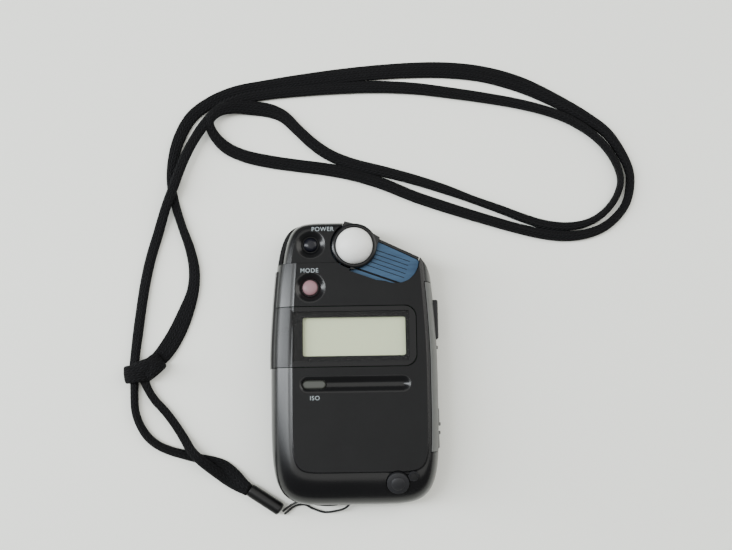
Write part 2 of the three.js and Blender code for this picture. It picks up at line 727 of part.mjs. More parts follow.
function headCover() {
  const form = (inset) => frontForm(inset, HEAD_Z, HEAD_STEP, HEAD_BEVEL + HEAD_STEP);
  const shell = cut(common(form(0), headArea(0)), common(form(WALL), headArea(WALL)));
  const post = common(boss(screws[2], HEAD_Z - 0.5), form(0));
  const pads = common(join(wellPad(POWER, POWER_Y, HEAD_Z), post), headArea(0));
  const under = HEAD_Z - POWER.wellDepth - PAD;
  const flangeRoom = disc(POWER.x, POWER_Y, SPLIT_Z, under, POWER.r + KEY_LIP + 2 * FIT, 32);
  return cut(join(shell, pads), well(POWER, POWER_Y, HEAD_Z), flangeRoom,
    bossBore(screws[2]), leftBand(FIT));
}

function doorOpening(gap) {
  const y0 = CELL_Y - DOOR_W / 2 - gap;
  const y1 = CELL_Y + DOOR_W / 2 + gap;
  const lipX = -HALF_W + DOOR_LIP + gap;
  const plate = box(-CASE_WIDTH, DOOR_RIGHT + gap, y0, y1, -CUT, FLOOR + CUT);
  const lip = box(-CASE_WIDTH, lipX, y0 - TONGUE, y1 + TONGUE, -CUT, SPLIT_Z + CUT);
  return join(plate, lip);
}

function batteryDoor() {
  const y0 = CELL_Y - DOOR_W / 2;
  const y1 = CELL_Y + DOOR_W / 2;
  const shell = cut(common(backForm(0, 0), doorOpening(0)), backForm(WALL, DOOR_T));
  const ledge = FLOOR + FIT;
  const tongue = (low, high) => box(-HALF_W + DOOR_LIP - CUT, DOOR_RIGHT - DOOR_TRAVEL / 2, low, high,
    ledge, ledge + TONGUE_T);
  const rail = (low, high) => box(-HALF_W + DOOR_LIP - CUT, DOOR_RIGHT - DOOR_TRAVEL / 2, low, high,
    DOOR_T - 0.2, ledge + TONGUE_T);
  return join(shell, rail(y0, y0 + 0.8), rail(y1 - 0.8, y1), tongue(y0 - TONGUE + FIT, y0 + 0.1),
    tongue(y1 - 0.1, y1 + TONGUE - FIT));
}

function rearCover() {
  const shell = cut(backForm(0, 0), backForm(WALL, FLOOR));
  const x0 = EYELET_X - EYELET_W / 2;
  const x1 = EYELET_X + EYELET_W / 2;
  const y1 = BOTTOM + EYELET_DEPTH;
  const [z0, z1] = EYELET_Z;
  const pod = common(box(x0 - WALL, x1 + WALL, BOTTOM, y1 + WALL, 0.5, SPLIT_Z), backForm(0, 0));
  const posts = screws.map(({ x, y }) => disc(x, y, 0.5, SPLIT_Z, BOSS_R, 20));
  const bores = screws.map(({ x, y }) => join(disc(x, y, -CUT, SPLIT_Z + CUT, SCREW_R + 0.2, 16),
    disc(x, y, -CUT, 1.2, SCREW_HEAD_R + FIT, 20)));
  const label = box(-PLATE_W / 2 - FIT, PLATE_W / 2 + FIT, PLATE_Y - PLATE_H / 2 - FIT,
    PLATE_Y + PLATE_H / 2 + FIT, -CUT, PLATE_T + 0.3);
  return cut(
    join(shell, pod, ...posts),
    box(x0, x1, BOTTOM - CUT, y1, z0, z1),
    disc(EYELET_X, BOTTOM + PIN_BACK, 1.2, SPLIT_Z + CUT, PIN_R + FIT, 16),
    doorOpening(FIT), rightBand(FIT), leftBand(FIT), label, ...bores,
  );
}

// ---- Slide ---------------------------------------------------------------------------

function slideTrack() {
  const area = common(pocket(TRACK_Z - TRACK_T, TRACK_Z, POCKET_R - FIT),
    prism(underSlope(FRAME_WALL + FIT), 0, FRONT_Z), frontForm(0));
  const groove = polygon([[-RING_R, GUIDE_V - GUIDE_W / 2], [TRAVEL + RING_R, GUIDE_V - GUIDE_W / 2],
    [TRAVEL + RING_R, GUIDE_V + GUIDE_W / 2], [-RING_R, GUIDE_V + GUIDE_W / 2]].map(onSlide));
  return cut(area, prism(groove, TRACK_Z - GUIDE_DEPTH, FRONT_Z),
    disc(DOME_X, DOME_Y, 0, FRONT_Z, SENSOR_R + FIT));
}

function trackFrame() {
  const z1 = TRACK_Z;
  const ledge = TRACK_Z - TRACK_T - FIT;
  const body = common(pocket(SPLIT_Z + FIT, z1, POCKET_R - FIT), frontForm(0));
  const inner = common(pocket(0, FRONT_Z), prism(underSlope(FRAME_WALL), -CUT, FRONT_Z));
  const wall = cut(body, inner);
  const shelf = common(pocket(ledge - 0.8, ledge, POCKET_R - FIT), frontForm(0),
    prism(polygon([[-RING_R + 2, 2.6], [TRAVEL + RING_R, 2.6], [TRAVEL + RING_R, 2 * RING_R],
      [-RING_R + 2, 2 * RING_R]].map(onSlide)), 0, FRONT_Z));
  return join(wall, shelf);
}

const CARRIAGE_Z = TRACK_Z + FIT;
const RING_Z = CARRIAGE_Z + CARRIAGE_T + 0.4;
const SEAT_Z = CARRIAGE_Z + 0.7;

function domeCarriage() {
  const corner = polygon([[-6.8, 0], [8.4, 0], [8.4, 6.4], [-1.7, 8.3], [-6.8, 7.9]].map(onSlide));
  const plate = join(disc(DOME_X, DOME_Y, CARRIAGE_Z, RING_Z, RING_R, 48),
    prism(corner, CARRIAGE_Z, CARRIAGE_Z + CARRIAGE_T));
  const lip = cut(prism(corner, TRACK_Z - 3, CARRIAGE_Z + 0.5), prism(underSlope(-0.35), 0, FRONT_Z));
  const runnerEdge = [GUIDE_V - RUNNER_W / 2, GUIDE_V + RUNNER_W / 2];
  const runner = prism(polygon([[-3.5, runnerEdge[0]], [3.5, runnerEdge[0]], [3.5, runnerEdge[1]],
    [-3.5, runnerEdge[1]]].map(onSlide)), TRACK_Z - GUIDE_DEPTH + FIT, CARRIAGE_Z + 0.5);
  const pointer = prism(polygon([[1.9, -10.1], [3.5, -8.5], [1.4, -8.2]].map(onSlide)),
    CARRIAGE_Z, CARRIAGE_Z + CARRIAGE_T);
  return cut(join(plate, lip, runner, common(pointer, disc(DOME_X, DOME_Y, 0, FRONT_Z, POCKET_R - 0.1, 48))),
    disc(DOME_X, DOME_Y, 0, FRONT_Z, DOME_R - DOME_WALL - 0.3, 40),
    disc(DOME_X, DOME_Y, SEAT_Z, FRONT_Z + CUT, DOME_R + 0.25, 40));
}

function diffuserDome() {
  const arc = (r, h, turn) => Array.from({ length: 9 }, (_, i) => {
    const a = (turn > 0 ? i : 8 - i) / 8 * Math.PI / 2;
    return [r * Math.cos(a), h * Math.sin(a)];
  });
  const outer = arc(DOME_R, DOME_HEIGHT, 1);
  const inner = arc(DOME_R - DOME_WALL, DOME_HEIGHT - DOME_WALL, -1);
  outer[8][0] = 0;
  inner[0][0] = 0;
  return turned([...inner, ...outer], DOME_X, DOME_Y, SEAT_Z + 0.2, 28);
}

const SENSOR_R = 3;

function sensorWindow() {
  return turned([[0, TRACK_Z - TRACK_T], [SENSOR_R, TRACK_Z - TRACK_T], [SENSOR_R, TRACK_Z - 0.7],
    [SENSOR_R * 0.7, TRACK_Z - 0.45], [0, TRACK_Z - 0.35]], DOME_X, DOME_Y, 0, 24);
}

function detentSpring() {
  const z = TRACK_Z - TRACK_T - 1;
  return prism(polygon([[4, -4.5], [13, -4.5], [13, -2.5], [4, -2.5]].map(onSlide)), z, z + 0.4);
}

// ---- Keys ----------------------------------------------------------------------------

function roundKey(key, y, topZ) {
  const under = topZ - key.wellDepth - PAD;
  const flangeTop = under - FIT;
  const crown = topZ - 0.15;
  const stemZ = Math.min(STEM_Z, flangeTop - KEY_FLANGE);
  return turned([[0, stemZ], [1.2, stemZ], [1.2, flangeTop - KEY_FLANGE],
    [key.r + FIT + KEY_LIP, flangeTop - KEY_FLANGE], [key.r + FIT + KEY_LIP, flangeTop],
    [key.r, flangeTop], [key.r, crown - 1.3], [key.r * 0.86, crown - 0.6], [key.r * 0.5, crown - 0.14],
    [0, crown]], key.x, y, 0, 28);
}

function isoButton() {
  const under = FRONT_Z - GROOVE_DEPTH - PAD;
  const flangeTop = under - FIT;
  return join(
    prism(pill(ISO.x, GROOVE_Y, ISO.w, ISO.h), flangeTop - 0.1, FRONT_Z - 1.1, 8),
    prism(pill(ISO.x, GROOVE_Y, ISO.w + 2 * FIT + 2 * KEY_LIP, ISO.h + 2 * FIT + 2 * KEY_LIP),
      flangeTop - KEY_FLANGE, flangeTop),
    disc(ISO.x, GROOVE_Y, STEM_Z, flangeTop - 0.2, 1.2, 12),
  );
}

function boardSwitch(x, y) {
  const w = SWITCH_W / 2;
  return join(box(x - w, x + w, y - w, y + w, SWITCH_Z, SWITCH_Z + SWITCH_H - 0.6),
    disc(x, y, SWITCH_Z, SWITCH_Z + SWITCH_H, 1.4, 16));
}

// ---- Boards --------------------------------------------------------------------------

function mainBoard() {
  const low = CELL_Y + CELL_R + CELL_GAP + HOLDER_WALL + 1.5;
  const rim = prism(new THREE.Shape(outline(BOARD_INSET)), BOARD_Z, BOARD_TOP);
  const room = box(-CASE_WIDTH, SIDE_FACE_X - 1.4, low, TOP, 0, FRONT_Z);
  const holes = screws.map(({ x, y }) => disc(x, y, 0, FRONT_Z, BOSS_R + 0.4, 20));
  return cut(common(rim, room, prism(underSlope(BOARD_INSET), 0, FRONT_Z)), ...holes);
}

function sideBoard() {
  const y0 = DOWN.y - DOWN.l / 2;
  const y1 = MEASURE.y + MEASURE.l / 2;
  return box(SIDE_FACE_X - 0.05 - SIDE_BOARD_T, SIDE_FACE_X - 0.05, y0, y1, 3.6, 13.6);
}

// ---- Battery -------------------------------------------------------------------------

const CELL_LEFT = CELL_X - CELL_L / 2;
const CELL_RIGHT = CELL_X + CELL_L / 2;

function batteryCell() {
  const geometry = new THREE.LatheGeometry([[0, 0], [CELL_R, 0], [CELL_R, CELL_L - 1.2], [2.7, CELL_L - 1.2],
    [2.7, CELL_L], [0, CELL_L]].map(([r, h]) => new THREE.Vector2(r, h)), 28);
  geometry.rotateZ(-Math.PI / 2);
  geometry.translate(CELL_LEFT, CELL_Y, CELL_Z);
  return solid(geometry);
}

function batteryHolder() {
  const x0 = CELL_LEFT - SPRING_L - CONTACT_T - FIT;
  const x1 = CELL_RIGHT + CONTACT_T + 2 * FIT;
  const y = CELL_R + CELL_GAP;
  const z0 = FLOOR + FIT + TONGUE_T + FIT;
  return cut(
    box(x0 - HOLDER_WALL, x1 + HOLDER_WALL, CELL_Y - y - HOLDER_WALL, CELL_Y + y + HOLDER_WALL, z0, HOLDER_TOP),
    box(x0, x1, CELL_Y - y, CELL_Y + y, 0, FRONT_Z),
  );
}

function positiveContact() {
  const x = CELL_RIGHT + FIT;
  return box(x, x + CONTACT_T, CELL_Y - 4, CELL_Y + 4, CELL_Z - 4, CELL_Z + 2.5);
}

function negativeSpring() {
  const geometry = new THREE.LatheGeometry([[1.2, 0.3], [1.2, SPRING_L - 0.1], [0.8, SPRING_L - 0.1],
    [0.8, 0.3], [1.2, 0.3]].map(([r, h]) => new THREE.Vector2(r * 2.4, h)), 24);
  geometry.rotateZ(-Math.PI / 2);
  geometry.translate(CELL_LEFT - SPRING_L - CONTACT_T, CELL_Y, CELL_Z);
  const x = CELL_LEFT - SPRING_L - CONTACT_T;
  return join(solid(geometry), box(x, x + 0.35, CELL_Y - 4, CELL_Y + 4, CELL_Z - 4, CELL_Z + 2.5));
}

// ---- Small fittings ------------------------------------------------------------------

const PLATE_W = 38;
const PLATE_H = 22;
const PLATE_Y = 16;
const PLATE_T = 0.4;

function ratingPlate() {
  return prism(roundedRect(-PLATE_W / 2, PLATE_W / 2, PLATE_Y - PLATE_H / 2, PLATE_Y + PLATE_H / 2, 1.5),
    0.15, PLATE_T + 0.1);
}

function caseScrew({ x, y }) {
  return turned([[0, 0.3], [SCREW_HEAD_R, 0.3], [SCREW_HEAD_R, 0.95], [SCREW_R - 0.1, 1.1],
    [SCREW_R - 0.1, 1.1 + SCREW_L], [0, 1.3 + SCREW_L]], x, y, 0, 16);
}

function strapPin() {
  return disc(EYELET_X, BOTTOM + PIN_BACK, 1.5, SPLIT_Z - 0.2, PIN_R, 16);
}

// ---- Strap ---------------------------------------------------------------------------

function tube(points, r, sides, steps) {
  const path = new THREE.CatmullRomCurve3(points.map((p) => new THREE.Vector3(...p)), false, 'centripetal');
  const section = new THREE.Shape();
  for (let i = 0; i < sides; i++) {
    const a = i / sides * 2 * Math.PI;
    section[i === 0 ? 'moveTo' : 'lineTo'](r * Math.cos(a), r * Math.sin(a));
  }
  return solid(new THREE.ExtrudeGeometry(section, { steps, extrudePath: path, bevelEnabled: false }));
}

// A turned piece laid along the line from one point to another
function laid(profile, from, to, sides) {
  const geometry = new THREE.LatheGeometry(profile.map(([r, h]) => new THREE.Vector2(r, h)), sides);
  const start = new THREE.Vector3(...from);
  const along = new THREE.Vector3(...to).sub(start).normalize();
  geometry.applyQuaternion(new THREE.Quaternion().setFromUnitVectors(new THREE.Vector3(0, 1, 0), along));
  geometry.translate(start.x, start.y, start.z);
  return solid(geometry);
}

const FERRULE_TOP = [-41.5, -49.1, 2.4];
const FERRULE_TIP = [-29.4, -57, 2.4];

function ferrule() {
  const r = FERRULE_R;
  return laid([[0, 0], [r * 0.95, 0], [r, 0.5], [r, FERRULE_L - 2.5], [r * 0.85, FERRULE_L - 1],
    [r * 0.5, FERRULE_L - 0.15], [0, FERRULE_L]], FERRULE_TOP, FERRULE_TIP, 16);
}

function knot() {
  const geometry = new THREE.SphereGeometry(1, 16, 10);
  geometry.scale(7.6, 5.6, 3.6);
  geometry.translate(-83, -1.5, 3.7);
  return solid(geometry);
}

const RUN_A = [[-43.1, -50.4, 2], [-48, -46.6, 1.65], [-52, -43.6, 1.7], [-56, -41, 2.7], [-59, -38.9, 4.5],
  [-62, -36.4, 5.3], [-64.6, -33.4, 4.3], [-66.8, -30, 2.2], [-69, -26, 1.65], [-72.5, -20, 1.65],
  [-76, -15, 1.65], [-79.5, -11, 1.65], [-81.5, -8.3, 2]];
const RUN_B = [[-41.6, -46.8, 2], [-46.2, -42, 1.65], [-51, -38.6, 1.65], [-55.5, -37, 1.65], [-60, -36.8, 1.65],
  [-66, -36.4, 1.65], [-72, -35, 1.65], [-78, -32, 1.65], [-82, -28, 1.65], [-85, -24, 1.65],
  [-86.8, -19, 1.65], [-87.2, -13, 1.65], [-86.8, -7.3, 2]];
const LOOP = [[-87, 4.2, 2], [-86.5, 12, 1.65], [-84, 26, 1.65], [-81, 41, 1.65], [-77.4, 54, 1.65],
  [-75.4, 63, 3.2], [-73.8, 70, 5.2], [-72.6, 76, 5.2], [-70, 83, 3.2], [-65, 91, 1.65], [-57, 101, 1.65],
  [-46, 110, 1.65], [-33, 112, 1.65], [-9, 113, 1.65], [17, 113.6, 1.65], [45, 109.6, 1.65],
  [74, 104.6, 1.65], [92, 99, 1.65], [104, 89, 1.65], [109.5, 76, 1.65], [107, 64, 1.65], [97, 55.5, 1.65],
  [84, 53.6, 1.65], [67, 58, 1.65], [48, 67, 1.65], [16, 77.6, 1.65], [-6, 87, 1.65], [-20, 96.4, 1.65],
  [-28, 102.6, 1.65], [-38, 105.6, 1.8], [-48, 105.4, 3.4], [-55.5, 102.2, 5.1], [-58, 97, 4.2],
  [-53.5, 91.4, 2.4], [-42, 86.6, 1.65], [-20, 81, 1.65], [4, 74.4, 1.65], [35, 63.6, 1.65], [60, 54.6, 1.65],
  [79, 49.4, 1.65], [95, 51, 1.65], [108, 59, 1.65], [114.5, 74, 1.65], [112, 87, 1.65], [101, 99.4, 1.65],
  [84, 109, 1.65], [62, 118, 1.65], [36, 122.2, 1.65], [10, 121.6, 1.65], [-20, 117.4, 1.65],
  [-43, 115, 1.65], [-57, 109.4, 1.65], [-67, 100.4, 1.65], [-72.6, 90, 1.65], [-74.6, 80, 1.65],
  [-74, 70, 1.65], [-70.5, 58, 1.65], [-66, 48, 1.65], [-63.8, 38, 1.65], [-65, 25, 1.65],
  [-69, 15.6, 1.65], [-75.6, 6.2, 2.2]];
const STRING = [[-28.9, -57.6, 2.2], [-25.6, -55.6, 2.4], [-22.6, -55.2, 3.4], [-16, -55.4, 4.2],
  [-9, -55.4, 4.6], [-6.2, -54.4, 4.6], [-5.5, -52.6, 4.6], [-4, -51.25, 4.6], [-2.5, -52.6, 4.6],
  [-2.4, -54.6, 4.4], [-4.4, -56.6, 3.4], [-8.4, -57.6, 2], [-14, -57.8, 1.2], [-19, -56.9, 1.2],
  [-23, -56.7, 1.4], [-28, -58.5, 2]];

// ---- The assembly --------------------------------------------------------------------

const meter = new THREE.Group();

function add(name, body, material) {
  const mesh = new THREE.Mesh(geometryOf(body), material);
  mesh.name = name;
  meter.add(mesh);
}

add('rear_cover', rearCover(), SATIN_BLACK);
add('front_cover', frontCover(), SATIN_BLACK);
add('head_cover', headCover(), SATIN_BLACK);
add('side_strip_right', rightStrip(), GREY);
add('side_strip_left', leftStrip(), GREY);
add('display_bezel', displayBezel(), GLOSS_BLACK);
add('display_window', displayWindow(), CLEAR);
add('display_panel', displayPanel(), LCD_GREEN);
add('display_connector', displayConnector(), RUBBER);
add('track_frame', trackFrame(), SATIN_BLACK);
add('slide_track', slideTrack(), BLUE);
add('detent_spring', detentSpring(), STEEL);
add('dome_carriage', domeCarriage(), SATIN_BLACK);
add('diffuser_dome', diffuserDome(), WHITE);
add('sensor_window', sensorWindow(), CLEAR);
add('light_sensor', box(DOME_X - 2.5, DOME_X + 2.5, DOME_Y - 2.5, DOME_Y + 2.5, SWITCH_Z, SWITCH_Z + 1.8),
  CHIP_BLACK);
add('power_button', roundKey(POWER, POWER_Y, HEAD_Z), NAVY);
add('mode_button', roundKey(MODE, MODE_Y, FRONT_Z), PINK);
add('iso_button', isoButton(), KEY_GREY);
add('power_switch', boardSwitch(POWER.x, POWER_Y), CHIP_BLACK);
add('mode_switch', boardSwitch(MODE.x, MODE_Y), CHIP_BLACK);
add('iso_switch', boardSwitch(ISO.x, GROOVE_Y), CHIP_BLACK);
add('measuring_button', sideKey(MEASURE), RUBBER);
add('up_key', sideKey(UP), GREY);
add('down_key', sideKey(DOWN), GREY);
add('measuring_switch', sideSwitch(MEASURE), CHIP_BLACK);
add('up_switch', sideSwitch(UP), CHIP_BLACK);
add('down_switch', sideSwitch(DOWN), CHIP_BLACK);
add('side_switch_board', sideBoard(), BOARD_GREEN);
add('main_circuit_board', mainBoard(), BOARD_GREEN);
add('microcontroller', box(2, 14, DISPLAY_Y - 4, DISPLAY_Y + 6, SWITCH_Z, SWITCH_Z + 1.2), CHIP_BLACK);
add('battery_holder', batteryHolder(), SATIN_BLACK);
add('battery_cell', batteryCell(), CELL_SKIN);
add('positive_contact', positiveContact(), STEEL);
add('negative_spring', negativeSpring(), STEEL);
add('battery_door', batteryDoor(), SATIN_BLACK);
add('sync_socket_shell', syncSocketShell(), BRASS);
add('sync_insulator', syncInsulator(), WHITE);
add('sync_centre_contact', syncCentre(), BRASS);
add('sync_cap', syncCap(), RUBBER);
add('sync_cap_tether', syncTether(), RUBBER);
add('tether_screw', tetherScrew(), STEEL);
add('strap_pin', strapPin(), STEEL);
add('rating_plate', ratingPlate(), LABEL);
screws.forEach((place, i) => add(`case_screw_${i + 1}`, caseScrew(place), STEEL));
add('strap_ferrule', ferrule(), RUBBER);
add('strap_knot', knot(), STRAP_BLACK);
add('strap_run_a', tube(RUN_A, STRAP_R, 8, 8), STRAP_BLACK);
add('strap_run_b', tube(RUN_B, STRAP_R, 8, 8), STRAP_BLACK);
add('strap_loop', tube(LOOP, STRAP_R, 8, 72), STRAP_BLACK);
add('strap_string', tube(STRING, STRING_R, 6, 24), STRAP_BLACK);

export default meter;
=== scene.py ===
"""A handheld exposure meter on its back on a pale table, with its neck strap laid round it.

Lengths are in millimetres and turn into metres where a mesh is made. The frame is the part's own:
+X to the right, +Y towards the diffuser end, +Z out of the front face, and the table is z = 0.
"""

import math

import bpy
from mathutils import Matrix, Vector


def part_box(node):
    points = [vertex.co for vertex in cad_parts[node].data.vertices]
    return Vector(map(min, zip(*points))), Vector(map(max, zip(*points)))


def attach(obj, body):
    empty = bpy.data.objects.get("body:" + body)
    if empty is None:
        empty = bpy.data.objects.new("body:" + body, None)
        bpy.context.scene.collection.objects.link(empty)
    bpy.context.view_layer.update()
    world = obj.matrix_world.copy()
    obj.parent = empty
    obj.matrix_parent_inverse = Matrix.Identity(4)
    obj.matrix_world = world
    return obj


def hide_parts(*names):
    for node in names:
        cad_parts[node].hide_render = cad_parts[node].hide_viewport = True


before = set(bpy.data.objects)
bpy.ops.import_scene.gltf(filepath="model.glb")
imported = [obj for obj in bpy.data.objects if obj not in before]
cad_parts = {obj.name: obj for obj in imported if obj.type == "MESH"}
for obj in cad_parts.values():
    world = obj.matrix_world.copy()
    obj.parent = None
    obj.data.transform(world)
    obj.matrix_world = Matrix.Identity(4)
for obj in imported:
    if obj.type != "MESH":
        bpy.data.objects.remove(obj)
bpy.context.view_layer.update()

MM = 0.001


def add_object(name, data):
    body = bpy.data.objects.new(name, data)
    bpy.context.scene.collection.objects.link(body)
    return body


# ---- Camera ----

EYE = (4.27, -21.96, 407.98)
EYE_TILT = math.radians(8)
EYE_TURN = math.radians(-0.9)


def add_camera():
    data = bpy.data.cameras.new("camera")
    data.lens = 50
    data.sensor_width = 36
    camera = add_object("camera", data)
    camera.location = Vector(EYE) * MM
    camera.rotation_euler = (EYE_TILT, 0, EYE_TURN)
    bpy.context.scene.camera = camera


add_camera()

# ---- Meshes ----


def mesh_object(name, points, faces):
    data = bpy.data.meshes.new(name)
    data.from_pydata([Vector(p) * MM for p in points], [], faces)
    data.update()
    return add_object(name, data)


def loft(rings):
    """A closed skin over a stack of rings, each anticlockwise seen from above."""
    count = len(rings[0])
    points = [p for ring in rings for p in ring]
    faces = []
    for level in range(len(rings) - 1):
        for i in range(count):
            a = level * count + i
            b = level * count + (i + 1) % count
            faces.append((a, b, b + count, a + count))
    last = (len(rings) - 1) * count
    faces.append(tuple(range(count - 1, -1, -1)))
    faces.append(tuple(range(last, last + count)))
    return mesh_object("loft", points, faces)


def prism(outline, low, high):
    return loft([[(x, y, z) for x, y in outline] for z in (low, high)])


def box(x0, x1, y0, y1, z0, z1):
    return prism([(x0, y0), (x1, y0), (x1, y1), (x0, y1)], z0, z1)


def lathe(profile, centre=(0, 0, 0), sides=72):
    """A profile of (radius, height) pairs, from its foot to its top, turned about an upright axis."""
    cx, cy, cz = centre
    points = []
    rows = []
    for radius, height in profile:
        count = sides if radius > 0 else 1
        rows.append([len(points) + i for i in range(count)])
        for i in range(count):
            angle = 2 * math.pi * i / sides
            x = cx + radius * math.cos(angle)
            y = cy + radius * math.sin(angle)
            points.append((x, y, cz + height))
    faces = []
    for low, high in zip(rows, rows[1:]):
        for i in range(sides):
            j = (i + 1) % sides
            corners = [low[i % len(low)], low[j % len(low)], high[j % len(high)], high[i % len(high)]]
            corners = list(dict.fromkeys(corners))
            if len(corners) > 2:
                faces.append(corners)
    if len(rows[0]) > 1:
        faces.append(rows[0][::-1])
    if len(rows[-1]) > 1:
        faces.append(rows[-1])
    return mesh_object("lathe", points, faces)


def disc(x, y, low, high, radius, sides=64):
    return lathe([(0, low), (radius, low), (radius, high), (0, high)], (x, y, 0), sides)


def bake(body):
    """Turns a body's modifiers into its mesh."""
    graph = bpy.context.evaluated_depsgraph_get()
    mesh = bpy.data.meshes.new_from_object(body.evaluated_get(graph), depsgraph=graph)
    body.modifiers.clear()
    body.data = mesh
    return body


def combine(kind, body, tools):
    for tool in tools:
        modifier = body.modifiers.new(kind, "BOOLEAN")
        modifier.operation = kind
        modifier.solver = "MANIFOLD"
        modifier.object = tool
        bake(body)
        bpy.data.objects.remove(tool)
    return body


def cut(body, *tools):
    return combine("DIFFERENCE", body, tools)


def common(body, *tools):
    return combine("INTERSECT", body, tools)


def join(body, *tools):
    return combine("UNION", body, tools)


def soften(body, crease, width=0.0):
    """Smooth shading that keeps flats flat, with a fine round on the sharp edges."""
    for face in body.data.polygons:
        face.use_smooth = True
    body.data.set_sharp_from_angle(angle=math.radians(crease))
    if width > 0:
        bevel = body.modifiers.new("edge", "BEVEL")
        bevel.width = width * MM
        bevel.segments = 2
        bevel.limit_method = "ANGLE"
        bevel.angle_limit = math.radians(crease)
        bevel.use_clamp_overlap = True
        bevel.harden_normals = True
    normals = body.modifiers.new("normals", "WEIGHTED_NORMAL")
    normals.keep_sharp = True
    return body


def set_materials(body, materials):
    body.data.materials.clear()
    for material in materials:
        body.data.materials.append(material)


def finish_piece(body, name, on, materials, replaces=()):
    """Names a piece, gives it its materials, if any are passed, and fixes it to a CAD body."""
    body.name = name
    body.data.name = name
    if materials:
        set_materials(body, materials)
    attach(body, on)
    if replaces:
        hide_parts(*replaces)
    return body


def quarter_turn(steps):
    """Angles from nought to a right angle."""
    return [i / steps * math.pi / 2 for i in range(steps)] + [math.pi / 2]


def spline(points, step):
    """Points a step apart on a smooth line through the given points."""
    found = []
    ends = [points[0] * 2 - points[1]] + points + [points[-1] * 2 - points[-2]]
    for a, b, c, d in zip(ends, ends[1:], ends[2:], ends[3:]):
        t0 = 0.0
        t1 = t0 + (b - a).length ** 0.5
        t2 = t1 + (c - b).length ** 0.5
        t3 = t2 + (d - c).length ** 0.5
        count = max(1, round((c - b).length / step))
        for i in range(count):
            t = t1 + (t2 - t1) * i / count
            ab = a * ((t1 - t) / (t1 - t0)) + b * ((t - t0) / (t1 - t0))
            bc = b * ((t2 - t) / (t2 - t1)) + c * ((t - t1) / (t2 - t1))
            cd = c * ((t3 - t) / (t3 - t2)) + d * ((t - t2) / (t3 - t2))
            abc = ab * ((t2 - t) / (t2 - t0)) + bc * ((t - t0) / (t2 - t0))
            bcd = bc * ((t3 - t) / (t3 - t1)) + cd * ((t - t1) / (t3 - t1))
            found.append(abc * ((t2 - t) / (t2 - t1)) + bcd * ((t - t1) / (t2 - t1)))
    found.append(points[-1])
    return found


# ---- Nodes ----


class Shader:
    """A node material under construction."""

    def __init__(self, name):
        self.material = bpy.data.materials.new(name)
        self.material.use_nodes = True
        self.tree = self.material.node_tree
        self.surface = self.tree.nodes["Principled BSDF"]

    def node(self, kind, **settings):
        made = self.tree.nodes.new(kind)
        for key, value in settings.items():
            setattr(made, key, value)
        return made

    def feed(self, value, socket):
        """Sets a socket to a value, or links it to another node's output."""
        if isinstance(value, bpy.types.NodeSocket):
            self.tree.links.new(value, socket)
        else:
            socket.default_value = value

    def set(self, name, value):
        self.feed(value, self.surface.inputs[name])

    def math(self, operation, a, b=0.0, c=0.0):
        made = self.node("ShaderNodeMath", operation=operation)
        for value, socket in zip((a, b, c), made.inputs):
            self.feed(value, socket)
        return made.outputs[0]

    def position(self):
        return self.node("ShaderNodeTexCoord").outputs["Object"]

    def noise(self, scale, detail=3.0, vector=None):
        made = self.node("ShaderNodeTexNoise")
        made.inputs["Scale"].default_value = scale
        made.inputs["Detail"].default_value = detail
        made.inputs["Roughness"].default_value = 0.55
        self.feed(vector or self.position(), made.inputs["Vector"])
        return made.outputs["Fac"]

    def span(self, value, low, high, to_low, to_high):
        made = self.node("ShaderNodeMapRange")
        for given, socket in zip((value, low, high, to_low, to_high), made.inputs):
            self.feed(given, socket)
        return made.outputs[0]

    def mix(self, factor, a, b):
        made = self.node("ShaderNodeMix", data_type="RGBA")
        self.feed(factor, made.inputs["Factor"])
        self.feed(a, made.inputs["A"])
        self.feed(b, made.inputs["B"])
        return made.outputs["Result"]

    def bump(self, height, distance):
        made = self.node("ShaderNodeBump")
        made.inputs["Strength"].default_value = 1.0
        made.inputs["Distance"].default_value = distance * MM
        self.feed(height, made.inputs["Height"])
        return made.outputs["Normal"]


def rgb(red, green, blue):
    """A display colour of 0 to 255 as the linear colour that a socket takes."""
    linear = [(v / 255 / 12.92) if v < 11 else ((v / 255 + 0.055) / 1.055) ** 2.4 for v in (red, green, blue)]
    return (*linear, 1.0)


def plastic(name, colour, roughness, grain=0.0, grain_scale=9000.0, shine=0.3):
    """Moulded plastic: a fine grain, and a slight unevenness of its sheen and tone."""
    shader = Shader(name)
    shade = shader.noise(60.0)
    lighter = tuple(min(1.0, v * 1.25 + 0.002) for v in rgb(*colour)[:3]) + (1.0,)
    shader.set("Base Color", shader.mix(shade, rgb(*colour), lighter))
    smear = shader.noise(35.0, 5.0)
    shader.set("Roughness", shader.span(smear, 0.3, 0.7, roughness * 0.88, roughness * 1.12))
    shader.set("Specular IOR Level", shine)
    if grain > 0:
        shader.set("Normal", shader.bump(shader.noise(grain_scale, 2.0), grain))
    return shader.material


def metal(name, colour, roughness):
    shader = Shader(name)
    shader.set("Base Color", rgb(*colour))
    shader.set("Metallic", 1.0)
    brushed = shader.noise(900.0, 4.0)
    shader.set("Roughness", shader.span(brushed, 0.3, 0.7, roughness * 0.75, roughness * 1.3))
    return shader.material


